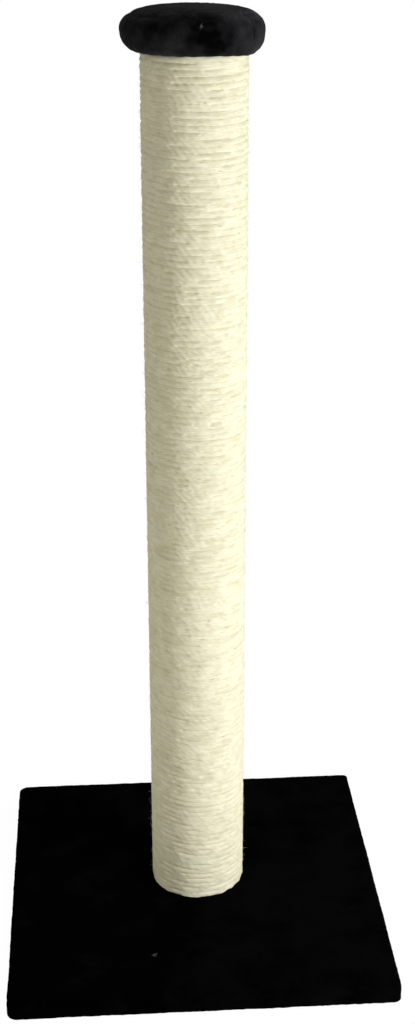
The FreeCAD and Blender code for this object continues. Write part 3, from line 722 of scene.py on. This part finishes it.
def make_sisal(name, pale, dark):
    """Sisal fibre: dry, hard, cream leaf fibre that lies nearly along the rope, some of it darker.

    Single fibres are 0.2 mm thick. Their bundles are drawn 0.7 mm wide and 14 mm long, so that they show.
    """
    material = new_material(
        name, {"Roughness": 0.78, "Specular IOR Level": 0.22, "Sheen Weight": 0.08, "Sheen Roughness": 0.5}
    )
    along_fibre = add_node(material, "UVMap", uv_map="fibre").outputs["UV"]
    patterns = []
    for length, width, detail, roughness in SISAL_PATTERNS:
        scale = (per_mm(length), per_mm(width), 1)
        stretched = add_node(material, "Mapping", {"Vector": along_fibre, "Scale": scale}).outputs["Vector"]
        noise = {"Vector": stretched, "Scale": 1.0, "Detail": detail, "Roughness": roughness}
        patterns.append(add_node(material, "TexNoise", noise).outputs["Fac"])
    bundles, batches, flecks = patterns
    place = add_node(material, "TexCoord").outputs["Object"]
    wide = add_node(material, "Mapping", {"Vector": place, "Scale": (1, 1, 1.5)}).outputs["Vector"]
    noise = {"Vector": wide, "Scale": per_mm(HANDLED_PATCH), "Detail": 2, "Roughness": 0.6}
    handled = add_node(material, "TexNoise", noise).outputs["Fac"]
    contrast = add_node(material, "MapRange", {"Value": bundles, "From Min": 0.3, "From Max": 0.7})
    colours = {"Fac": contrast.outputs["Result"], "Color1": linear(dark), "Color2": linear(pale)}
    tone = add_node(material, "MixRGB", colours).outputs["Color"]
    for pattern, start, full, share, colour in (
        (batches, 0.56, 0.78, 0.5, "#B5A477"),
        (flecks, 0.68, 0.82, 0.6, "#8E7D55"),
        (handled, 0.4, 0.65, 0.4, "#CFC69C"),
    ):
        limits = {"Value": pattern, "From Min": start, "From Max": full, "To Max": share}
        amount = add_node(material, "MapRange", limits).outputs["Result"]
        colours = {"Fac": amount, "Color1": tone, "Color2": linear(colour)}
        tone = add_node(material, "MixRGB", colours).outputs["Color"]
    bump = add_node(material, "Bump", {"Height": bundles, "Strength": 0.7, "Distance": 0.35 * MM})
    feed(material, colour=tone, normal=bump.outputs["Normal"])
    return material


def map_fibres(piece, along, around):
    """Write a UV map in metres along the fibre and round it, given at each face corner."""
    layer = piece.data.uv_layers.new(name="fibre")
    layer.data.foreach_set("uv", (np.stack([along, around], axis=-1) * MM).astype(np.float32).ravel())


def make_rope_part(name, distance):
    """A stretch of the rope between two distances, closed at both ends."""
    points, along, around = rope_surface(distance)
    count = points.shape[0]
    rings = np.arange(count * SECTION_POINTS).reshape(count, SECTION_POINTS)
    quads = ring_quads(rings)[:, ::-1]
    hubs = np.array([points[0].mean(axis=0), points[-1].mean(axis=0)])
    first_hub = count * SECTION_POINTS
    start = np.stack([np.roll(rings[0], -1), rings[0], np.full(SECTION_POINTS, first_hub)], axis=1)
    end = np.stack([rings[-1], np.roll(rings[-1], -1), np.full(SECTION_POINTS, first_hub + 1)], axis=1)
    every_point = np.concatenate([points.reshape(-1, 3), hubs])
    rope = new_piece(name, every_point, quads, np.concatenate([start, end]), sisal)
    corner = np.concatenate([quads.ravel(), start.ravel(), end.ravel()])
    along = np.append(along.ravel(), distance[[0, -1]])
    around = np.append(around.ravel(), [0, 0])
    last_side = np.zeros(len(corner))
    wraps = np.repeat((quads % SECTION_POINTS == 0).any(axis=1) & (quads % SECTION_POINTS > 1).any(axis=1), 4)
    last_side[: quads.size] = wraps & (quads.ravel() % SECTION_POINTS == 0)
    map_fibres(rope, along[corner], around[corner] + last_side * math.pi * ROPE_DIAMETER)
    return rope


sisal = make_sisal("natural_sisal_rope", "#F5F2D4", "#DCD4A6")
stations = np.linspace(0, rope_length, int(rope_length / SECTION_SPACING))
top_start = rope_length * (box_mm("rope_top_turns")[0][2] - rope_low[2]) / (rope_high[2] - rope_low[2])
splits = np.append(np.linspace(0, top_start, ROPE_PARTS), rope_length)
for part, (start, end) in enumerate(zip(splits, splits[1:]), start=1):
    low, high = np.searchsorted(stations, (start, end))
    rope_part = make_rope_part(f"sisal_rope_{part}", stations[low : high + 1])
    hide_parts("rope_top_turns" if part == ROPE_PARTS else "rope_lower_winding")
    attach(rope_part, "root")


# Loose fibres --------------------------------------------------------------------------------
# Sisal sheds: short ends of fibre come out of the rope all over. Most of them lie nearly flat, and
# a few stand well out. The rope's two cut ends are frayed.

FIBRE_STATIONS = 4
FIBRE_THICKNESS = 0.2


def grow_fibres(name, roots, headings, outwards, lengths, lift, curl, material):
    """Tapered three-sided threads. Each leaves its root along its heading, lifts outwards and curls aside."""
    share = np.linspace(0, 1, FIBRE_STATIONS)
    aside = np.cross(headings, outwards)
    reach = lengths[:, None] * share
    line = roots[:, None] + headings[:, None] * reach[..., None]
    line = line + outwards[:, None] * (reach * share * lift[:, None])[..., None]
    line = line + aside[:, None] * (reach * share * curl[:, None])[..., None]
    turn = np.arange(3) * 2 * math.pi / 3
    radius = FIBRE_THICKNESS / 2 * (1 - 0.6 * share)
    across = np.cos(turn)[:, None] * outwards[:, None, None] + np.sin(turn)[:, None] * aside[:, None, None]
    points = line[:, :, None] + radius[:, None, None] * across
    count = len(roots)
    rings = np.arange(count * FIBRE_STATIONS * 3).reshape(count, FIBRE_STATIONS, 3)
    here, there = rings[:, :-1], rings[:, 1:]
    quads = np.stack([here, np.roll(here, -1, 2), np.roll(there, -1, 2), there], axis=-1).reshape(-1, 4)
    ends = np.concatenate([rings[:, 0, ::-1], rings[:, -1]])
    fibres = new_piece(name, points.reshape(-1, 3), quads, ends, material)
    corner = np.concatenate([quads.ravel(), ends.ravel()])
    map_fibres(
        fibres,
        np.broadcast_to(reach[..., None] + 97 * np.arange(count)[:, None, None], rings.shape).ravel()[corner],
        np.broadcast_to(0.5 * turn + 0 * reach[..., None], rings.shape).ravel()[corner],
    )
    return fibres


def make_fuzz(name, count, shortest, longest, steepest, seed):
    """Fibre ends scattered over the outer half of the rope, pointing either way along it."""
    random = np.random.default_rng(seed)
    distance = random.uniform(0.01, 0.99, count) * rope_length
    centre, outwards, upwards, forwards = rope_line(distance)
    tilt = random.uniform(-1.1, 1.1, count)[:, None]
    normal = np.cos(tilt) * outwards + np.sin(tilt) * upwards
    roots = centre + normal * ROPE_DIAMETER / 2 * 0.9
    way = np.where(random.random(count) < 0.5, -1, 1)[:, None]
    lean = random.uniform(0.05, steepest, count)[:, None]
    across = random.normal(0, 0.4, count)[:, None]
    heading = unit(way * forwards + lean * normal + across * upwards)
    stand = unit(normal - heading * (normal * heading).sum(axis=1)[:, None])
    lengths = random.uniform(shortest, longest, count)
    lift, curl = random.uniform(-0.12, 0.3, count), random.normal(0, 0.3, count)
    return grow_fibres(name, roots, heading, stand, lengths, lift, curl, sisal)


def make_fray(name, count, seed):
    """The rope's two cut ends, where its fibres have sprung apart."""
    random = np.random.default_rng(seed)
    at_start = np.arange(2 * count) < count
    centre, outwards, upwards, forwards = rope_line(np.where(at_start, 0.01, rope_length - 0.01))
    turn, out = random.uniform(0, 2 * math.pi, 2 * count), ROPE_DIAMETER / 2 * random.random(2 * count) ** 0.5
    normal = np.cos(turn)[:, None] * outwards + np.sin(turn)[:, None] * upwards
    heading = np.where(at_start, -1, 1)[:, None] * forwards
    heading = unit(heading + normal * (0.25 * out * random.random(2 * count))[:, None])
    stand = unit(normal - heading * (normal * heading).sum(axis=1)[:, None])
    roots = centre + normal * (0.85 * out)[:, None]
    lengths = random.uniform(1.5, 6, 2 * count)
    lift, curl = random.uniform(-0.2, 0.2, 2 * count), random.normal(0, 0.3, 2 * count)
    return grow_fibres(name, roots, heading, stand, lengths, lift, curl, sisal)


for fuzz in (
    make_fuzz("sisal_fuzz", count=8500, shortest=4, longest=10, steepest=0.14, seed=31),
    make_fuzz("sisal_whiskers", count=46, shortest=4, longest=9, steepest=0.7, seed=32),
    make_fray("sisal_frayed_ends", count=90, seed=33),
):
    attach(fuzz, "root")


# Cap board and foam --------------------------------------------------------------------------
# The cap is built on a disc of particle board. Soft white foam is glued over it, crowned on top
# and carried down round its edge as a skirt.

FOAM_PORE = 0.8
NUT_HOLLOW_RADIUS = 11.4
CAP_SHIFT = (-1.7, 1.5)
CAP_WIDEST_RADIUS = 66.6
CAP_WIDEST_HEIGHT = 18.9
CAP_DOME = 19.6
CAP_BELLY = 24.2
DOME_SQUARENESS = 3.9
BELLY_SQUARENESS = 5
CAP_SEAT = 0.25

dress("cap_board", particle_board)
cap_low, cap_high = box_mm("cap_plush_cover")
foam_low, foam_high = box_mm("cap_foam")
cap_board_low, cap_board_high = box_mm("cap_board")
cap_board_radius = (cap_board_high - cap_board_low)[0] / 2
cap_axis = (cap_low + cap_high)[:2] / 2 + CAP_SHIFT


def cap_profile():
    """The cap's outline from its top to below it: radii, heights above the post, and distances along it.

    Above its widest it is the superellipse (r/R)^3.9 + (h/dome)^2 = 1. Below it is (r/R)^5 + (h/belly)^2 = 1,
    flat where it lies on the post.
    """
    turn = np.linspace(math.pi / 2, -math.pi / 2, 600)
    squareness = np.where(turn > 0, DOME_SQUARENESS, BELLY_SQUARENESS)
    radius = CAP_WIDEST_RADIUS * np.cos(turn) ** (2 / squareness)
    height = CAP_WIDEST_HEIGHT + np.where(turn > 0, CAP_DOME, CAP_BELLY) * np.sin(turn)
    height = np.maximum(height, CAP_SEAT)
    distance = np.append(0, np.cumsum(np.hypot(np.diff(radius), np.diff(height))))
    return radius, height, distance


def make_foam():
    """Open-cell polyurethane foam: off-white, matt, with pinhole pores. They are 0.4 mm, drawn at 0.8 mm."""
    material = new_material("white_upholstery_foam", {"Roughness": 0.95, "Specular IOR Level": 0.2})
    place = add_node(material, "TexCoord").outputs["Object"]
    pores = add_node(
        material, "TexVoronoi", {"Vector": place, "Scale": per_mm(FOAM_PORE)}
    ).outputs["Distance"]
    foam = add_node(
        material, "MixRGB", {"Fac": pores, "Color1": linear("#C9C2AC"), "Color2": linear("#EFEBDD")}
    )
    bump = add_node(material, "Bump", {"Height": pores, "Strength": 0.8, "Distance": 0.4 * MM})
    feed(material, colour=foam.outputs["Color"], normal=bump.outputs["Normal"])
    return material


def turned_piece(name, profile, steps, axis, material):
    """A closed outline of radii and heights, carried round an upright axis."""
    angle = np.arange(steps) * 2 * math.pi / steps
    radius, height = profile[:, 0][:, None], profile[:, 1][:, None]
    points = np.stack(
        [axis[0] + radius * np.cos(angle), axis[1] + radius * np.sin(angle), height + 0 * angle], axis=-1
    )
    rings = np.arange(points[..., 0].size).reshape(points.shape[:2])
    middle = np.array([[*axis, profile[0, 1]], [*axis, profile[-1, 1]]])
    top, bottom = rings.size, rings.size + 1
    first, last = rings[0], rings[-1]
    triangles = np.concatenate(
        [
            np.stack([np.full(steps, top), first, np.roll(first, -1)], axis=1),
            np.stack([np.full(steps, bottom), np.roll(last, -1), last], axis=1),
        ]
    )
    every_point = np.concatenate([points.reshape(-1, 3), middle])
    return new_piece(name, every_point, ring_quads(rings), triangles, material)


def make_cap_foam():
    """The foam's outline: over the crown, down the side as far as the board, and back up inside it."""
    radius, height, distance = cap_profile()
    station = np.linspace(2, distance[radius > cap_board_radius + 2].max(), 60)
    outer = np.column_stack([np.interp(station, distance, radius), np.interp(station, distance, height)])
    outer = outer * (0.95, 0.92) + (0, cap_low[2] + 0.8)
    outer[:, 1] = np.clip(outer[:, 1], foam_low[2], foam_high[2])
    outer = outer[outer[:, 0] > 1.5]
    recess_top = cap_board_high[2] + 0.05
    nut_top = box_mm("cap_tee_nut")[1][2] + 0.2
    inner = np.array(
        [
            [cap_board_radius + 0.3, foam_low[2]],
            [cap_board_radius + 0.3, recess_top],
            [NUT_HOLLOW_RADIUS, recess_top],
            [NUT_HOLLOW_RADIUS, nut_top],
            [2, nut_top],
        ]
    )
    return turned_piece("cap_foam_pad", np.concatenate([outer, inner]), 96, cap_axis, make_foam())


cap_foam = make_cap_foam()
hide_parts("cap_foam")
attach(cap_foam, "root")


# Cap cover -----------------------------------------------------------------------------------
# A circle of the same plush, pulled over the foam and gathered under the board, where staples
# hold it. It puffs out between its pleats, and the post hides its raw edge.

CAP_CELLS = 24
CAP_NET_REACH = 46
CAP_RING_STEP = 2.2
CAP_HEM_RADIUS = 30.5
CAP_PLEATS = 26
PLEAT_HEIGHT = 5
PUFF_PRESSURE = 4
PUFF_FRAMES = 20
PUFF_LIMIT = 3.0
CAP_LEAN = -0.035
CAP_SAG = (0.5, 4.0)
SAG_START = 16
SAG_SPREAD = 34
UPRIGHT_FOLD_DEPTH = 0.45
PLEAT_DEPTH = 0.4
RIM_DEPTH = 1.1
FOLD_DEPTH = 0.9
FOLD_ANGLE = math.radians(-38)
PLUSH_THICKNESS = 2.2


def make_cap_net():
    """The cap's skin before it is puffed: a net over the crown, and rings down the side and under it."""
    radius, height, along = cap_profile()
    reach = along[radius > CAP_HEM_RADIUS].max()
    cell, quads = cloth_net(CAP_CELLS)
    edge = square_walk(CAP_CELLS, CAP_CELLS)
    ring_count = int((reach - CAP_NET_REACH) / CAP_RING_STEP)
    ring_distance = np.linspace(CAP_NET_REACH, reach, ring_count + 1)[1:]
    net_distance = np.abs(cell).max(axis=1) / CAP_CELLS * CAP_NET_REACH
    distance = np.concatenate([net_distance, np.repeat(ring_distance, len(edge))])
    direction = np.concatenate([cell, np.tile(cell[edge], (ring_count, 1))])
    out = np.interp(distance, along, radius)
    place = cap_axis + rounded_square(direction, out, out)
    points = np.column_stack([place, cap_low[2] + np.interp(distance, along, height)])
    rings = [edge] + list(np.arange(len(cell), len(points)).reshape(ring_count, len(edge)))
    quads = np.concatenate([quads, ring_quads(np.array(rings))])
    return new_piece("cap_plush", points, quads, np.empty((0, 3), int), cap_plush)


def pleat_wave(around):
    """1 along each pleat's fold and 0 between them; the pleats are unevenly spaced."""
    uneven = 0.35 * np.sin(3 * around + 1) + 0.25 * np.sin(7 * around)
    return np.abs(np.cos(CAP_PLEATS / 2 * around + uneven)) ** 3


def cap_place(points):
    """Each point's angle about the cap's axis, its distance from that axis, and its height above the post."""
    x, y = (points[:, :2] - cap_axis).T
    return np.arctan2(y, x), np.hypot(x, y), points[:, 2] - cap_low[2]


def settle(piece):
    """Apply a piece's modifiers to its mesh."""
    shaped = bpy.data.meshes.new_from_object(piece.evaluated_get(bpy.context.evaluated_depsgraph_get()))
    piece.modifiers.clear()
    piece.data = shaped


def puff(piece):
    """Blow the cloth out: it is held under the board and along its pleats, and bulges between them."""
    start = read_points(piece.data)
    around, out, height = cap_place(start / MM)
    under = (height < CAP_SEAT + 0.3) & (out < CAP_WIDEST_RADIUS)
    pinned = under | ((pleat_wave(around) > 0.8) & (height < PLEAT_HEIGHT))
    held = piece.vertex_groups.new(name="held")
    held.add(np.flatnonzero(pinned).tolist(), 1.0, "REPLACE")
    cloth = piece.modifiers.new("puff", "CLOTH")
    cloth.settings.vertex_group_mass = "held"
    cloth.settings.use_pressure = True
    cloth.settings.uniform_pressure_force = PUFF_PRESSURE
    cloth.settings.effector_weights.gravity = 0
    cloth.settings.quality = 6
    cloth.point_cache.frame_end = PUFF_FRAMES
    for frame_number in range(1, PUFF_FRAMES + 1):
        bpy.context.scene.frame_set(frame_number)
    settle(piece)
    bpy.context.scene.frame_set(1)
    moved = read_points(piece.data) - start
    distance = np.linalg.norm(moved, axis=1)[:, None] / MM
    limited = start + moved * np.minimum(1, PUFF_LIMIT / np.maximum(distance, 1e-6))
    move_points(piece, limited)


def cap_folds(points):
    """How far the cloth is drawn in: by soft upright folds, pleats at the foot, the rim and one fold."""
    around, out, height = cap_place(points)
    side = np.exp(-(((height - CAP_WIDEST_HEIGHT) / 12) ** 2))
    upright = noise_field(points * (1, 1, 0.22), 10, 41) * side
    pleats = pleat_wave(around) * np.clip((PLEAT_HEIGHT + 4 - height) / 9, 0, 1) * (out > CAP_HEM_RADIUS + 3)
    rim = np.exp(-(((out - 0.87 * CAP_WIDEST_RADIUS) / 2.4) ** 2)) * (height > CAP_WIDEST_HEIGHT)
    broken = np.clip(0.5 + 0.9 * noise_field(points, 16, 42), 0, 1)
    from_fold = CAP_WIDEST_RADIUS * ((around - FOLD_ANGLE + math.pi) % (2 * math.pi) - math.pi)
    fold = np.exp(-((from_fold / 1.8) ** 2)) * side
    return UPRIGHT_FOLD_DEPTH * upright + PLEAT_DEPTH * pleats + RIM_DEPTH * rim * broken + FOLD_DEPTH * fold


def make_cap_cover():
    """The cap's cloth: puffed, smoothed, creased and given its pile, then thickened inwards."""
    cover = make_cap_net()
    puff(cover)
    smooth = cover.modifiers.new("smooth", "SUBSURF")
    smooth.levels = smooth.render_levels = 1
    settle(cover)
    points = read_points(cover.data) / MM
    normals = read_points(cover.data, "vertex_normals", "vector")
    height = points[:, 2] - cap_low[2]
    loose = np.clip(height / 3, 0, 1)
    points[:, 2] += CAP_LEAN * (points[:, 1] - cap_axis[1]) * np.clip(height / 20, 0, 1)
    aside = points[:, 0] - cap_axis[0]
    sag = np.where(aside < 0, *CAP_SAG) * np.clip((np.abs(aside) - SAG_START) / SAG_SPREAD, 0, 1)
    past_post = np.clip((np.linalg.norm(points[:, :2] - post_axis, axis=1) - rope_radius) / 5, 0, 1)
    sag = sag * past_post * np.clip((CAP_DOME - height) / 9, 0, 1)
    points[:, 2] -= sag
    points += normals * (plush_relief(points, 43) * loose - cap_folds(points))[:, None]
    points[:, 2] = np.maximum(points[:, 2], cap_low[2] + 0.1 - sag)
    move_points(cover, points * MM)
    thicken = cover.modifiers.new("cloth_thickness", "SOLIDIFY")
    thicken.thickness = PLUSH_THICKNESS * MM
    thicken.offset = -1
    return cover


# The cap's copy of the plush is painted paler than the base's. This is painted light for cloth standing up in
# the lamp's light.
cap_plush = make_black_plush("black_cap_plush", "#070707", "#3B3A39", 0.12, 1.2)
cap_cover = make_cap_cover()
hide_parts("cap_plush_cover")
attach(cap_cover, "root")


# Lint ----------------------------------------------------------------------------------------
# Two specks of pale cotton fluff have caught in the plush, one on the front of the cap and one on
# the base. Each is a loose tangle of short fibres.

LINT_CLUMP = 1.5
# each speck's name, place, number of fibres and size
LINT_SPECKS = (("cap_lint", (7.3, -52, 946), 34, 1.05), ("base_lint", (-49.2, -131.3, 20), 34, 1.15))


def make_lint_material():
    """Grey cotton fluff, paler where it is thin."""
    material = new_material("grey_lint", {"Roughness": 1.0, "Specular IOR Level": 0.1})
    place = add_node(material, "TexCoord").outputs["Object"]
    clumps = add_node(material, "TexNoise", {"Vector": place, "Scale": per_mm(LINT_CLUMP), "Detail": 2})
    grey = add_node(
        material,
        "MixRGB",
        {"Fac": clumps.outputs["Fac"], "Color1": linear("#5E5E5B"), "Color2": linear("#8A8A85")},
    )
    feed(material, colour=grey.outputs["Color"])
    return material


def make_lint(name, place, count, spread, cloth, seed):
    """A tangle of short curled fibres, on the point of the cloth that is nearest to its place."""
    random = np.random.default_rng(seed)
    skin = read_points(cloth.data) / MM
    nearest = np.argmin(np.linalg.norm(skin - place, axis=1))
    normal = read_points(cloth.data, "vertex_normals", "vector")[nearest]
    stand = unit(normal + 0.5 * random.normal(size=(count, 3)))
    heading = unit(np.cross(stand, random.normal(size=(count, 3))))
    roots = skin[nearest] + np.cross(normal, random.normal(0, spread / 2, (count, 3))) + 0.3 * normal
    lengths = random.uniform(1, 2.6, count) * spread
    lift, curl = random.uniform(0, 0.3, count), random.normal(0, 0.9, count)
    return grow_fibres(name, roots, heading, stand, lengths, lift, curl, lint_grey)


lint_grey = make_lint_material()
for seed, (name, place, count, spread) in enumerate(LINT_SPECKS, start=51):
    lint = make_lint(name, place, count, spread, cap_cover if name == "cap_lint" else base_cover, seed)
    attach(lint, "root")


# Studio --------------------------------------------------------------------------------------
# White floor and surround, one lamp in front of the post on the right, and a weak fill near it on
# the left. The camera looks down on the post from slightly to its left.

CAMERA_PLACE = (-87.5, -1550.9, 1139.9)
CAMERA_DOWN = math.radians(23.508)
CAMERA_RIGHT = math.radians(3.833)
CAMERA_ROLL = math.radians(0.069)
CAMERA_LENS = 59.06
CAMERA_SENSOR = 36
CAMERA_REACH = 60000
KEY_PLACE = (1560, -1060, 420)
KEY_AIM = (0, 0, 480)
KEY_SIZE = 600
KEY_POWER = 32
KEY_TINT = (0.93, 0.955, 1.12)
SURROUND = 0.45
FILL_PLACE = (-640, -560, 240)
FILL_AIM = (0, 0, 150)
FILL_SIZE = 420
FILL_POWER = 0.6
FILL_TINT = (1, 1, 1)
FLOOR_REACH = 20000
FLOOR_GLOW = 1.1
FLOOR_WHITENESS = 0.86


def seen_directly(item):
    """1 where the eye, a reflection or a clear thing looks straight at this, and 0 for the light it gives."""
    path = add_node(item, "LightPath")
    seen = path.outputs["Is Camera Ray"]
    for ray in ("Is Glossy Ray", "Is Transmission Ray"):
        seen = add_node(item, "Math", {0: seen, 1: path.outputs[ray]}, operation="MAXIMUM").outputs["Value"]
    return seen


def make_surround():
    """An even white surround that lights the object softly and is seen as plain white."""
    world = bpy.data.worlds.new("white_surround")
    world.use_nodes = True
    strength = add_node(
        world, "MapRange", {"Value": seen_directly(world), "To Min": SURROUND, "To Max": 1.0}
    )
    background = world.node_tree.nodes["Background"]
    background.inputs["Color"].default_value = (1, 1, 1, 1)
    world.node_tree.links.new(strength.outputs["Result"], background.inputs["Strength"])
    bpy.context.scene.world = world


def make_floor():
    """A large white floor: matt for the light it gives back, and nearly plain white to the eye."""
    corners = FLOOR_REACH * np.array([[-1, -1, 0], [1, -1, 0], [1, 1, 0], [-1, 1, 0]], float)
    material = bpy.data.materials.new("white_studio_floor")
    material.use_nodes = True
    nodes = material.node_tree.nodes
    nodes.remove(nodes["Principled BSDF"])
    matt = add_node(material, "BsdfDiffuse", {"Color": linear("#E8E8E8")})
    glow = add_node(material, "Emission", {"Color": (1, 1, 1, 1), "Strength": FLOOR_GLOW})
    share = add_node(
        material, "Math", {0: seen_directly(material), 1: FLOOR_WHITENESS}, operation="MULTIPLY"
    )
    blend = add_node(
        material,
        "MixShader",
        {0: share.outputs["Value"], 1: matt.outputs["BSDF"], 2: glow.outputs["Emission"]},
    )
    material.node_tree.links.new(blend.outputs["Shader"], nodes["Material Output"].inputs["Surface"])
    floor = new_piece("studio_floor", corners, np.array([[0, 1, 2, 3]]), np.empty((0, 3), int), material)


def aim(item, place, target):
    """Put a lamp at a place and point it at a target, both in millimetres."""
    item.location = np.array(place) * MM
    away = np.array(place, float) - np.array(target, float)
    level = math.hypot(away[0], away[1])
    item.rotation_euler = (math.atan2(level, away[2]), 0, math.atan2(away[0], -away[1]))


def make_lamp(name, place, target, size, power, tint):
    """A square softbox, which lights the post and isn't seen itself."""
    lamp = bpy.data.lights.new(name, "AREA")
    lamp.size = size * MM
    lamp.energy = power
    lamp.color = tint
    holder = bpy.data.objects.new(name, lamp)
    holder.visible_camera = False
    bpy.context.scene.collection.objects.link(holder)
    aim(holder, place, target)


def make_camera():
    """The photograph's camera."""
    camera = bpy.data.cameras.new("camera")
    camera.lens = CAMERA_LENS
    camera.sensor_width = CAMERA_SENSOR
    camera.clip_end = CAMERA_REACH * MM
    holder = bpy.data.objects.new("camera", camera)
    holder.location = np.array(CAMERA_PLACE) * MM
    holder.rotation_euler = (math.pi / 2 - CAMERA_DOWN, CAMERA_ROLL, -CAMERA_RIGHT)
    bpy.context.scene.collection.objects.link(holder)
    bpy.context.scene.camera = holder


make_surround()
make_floor()
make_lamp("key_softbox", KEY_PLACE, KEY_AIM, KEY_SIZE, KEY_POWER, KEY_TINT)
make_lamp("fill_card", FILL_PLACE, FILL_AIM, FILL_SIZE, FILL_POWER, FILL_TINT)
make_camera()
bpy.context.scene.view_settings.view_transform = "Standard"
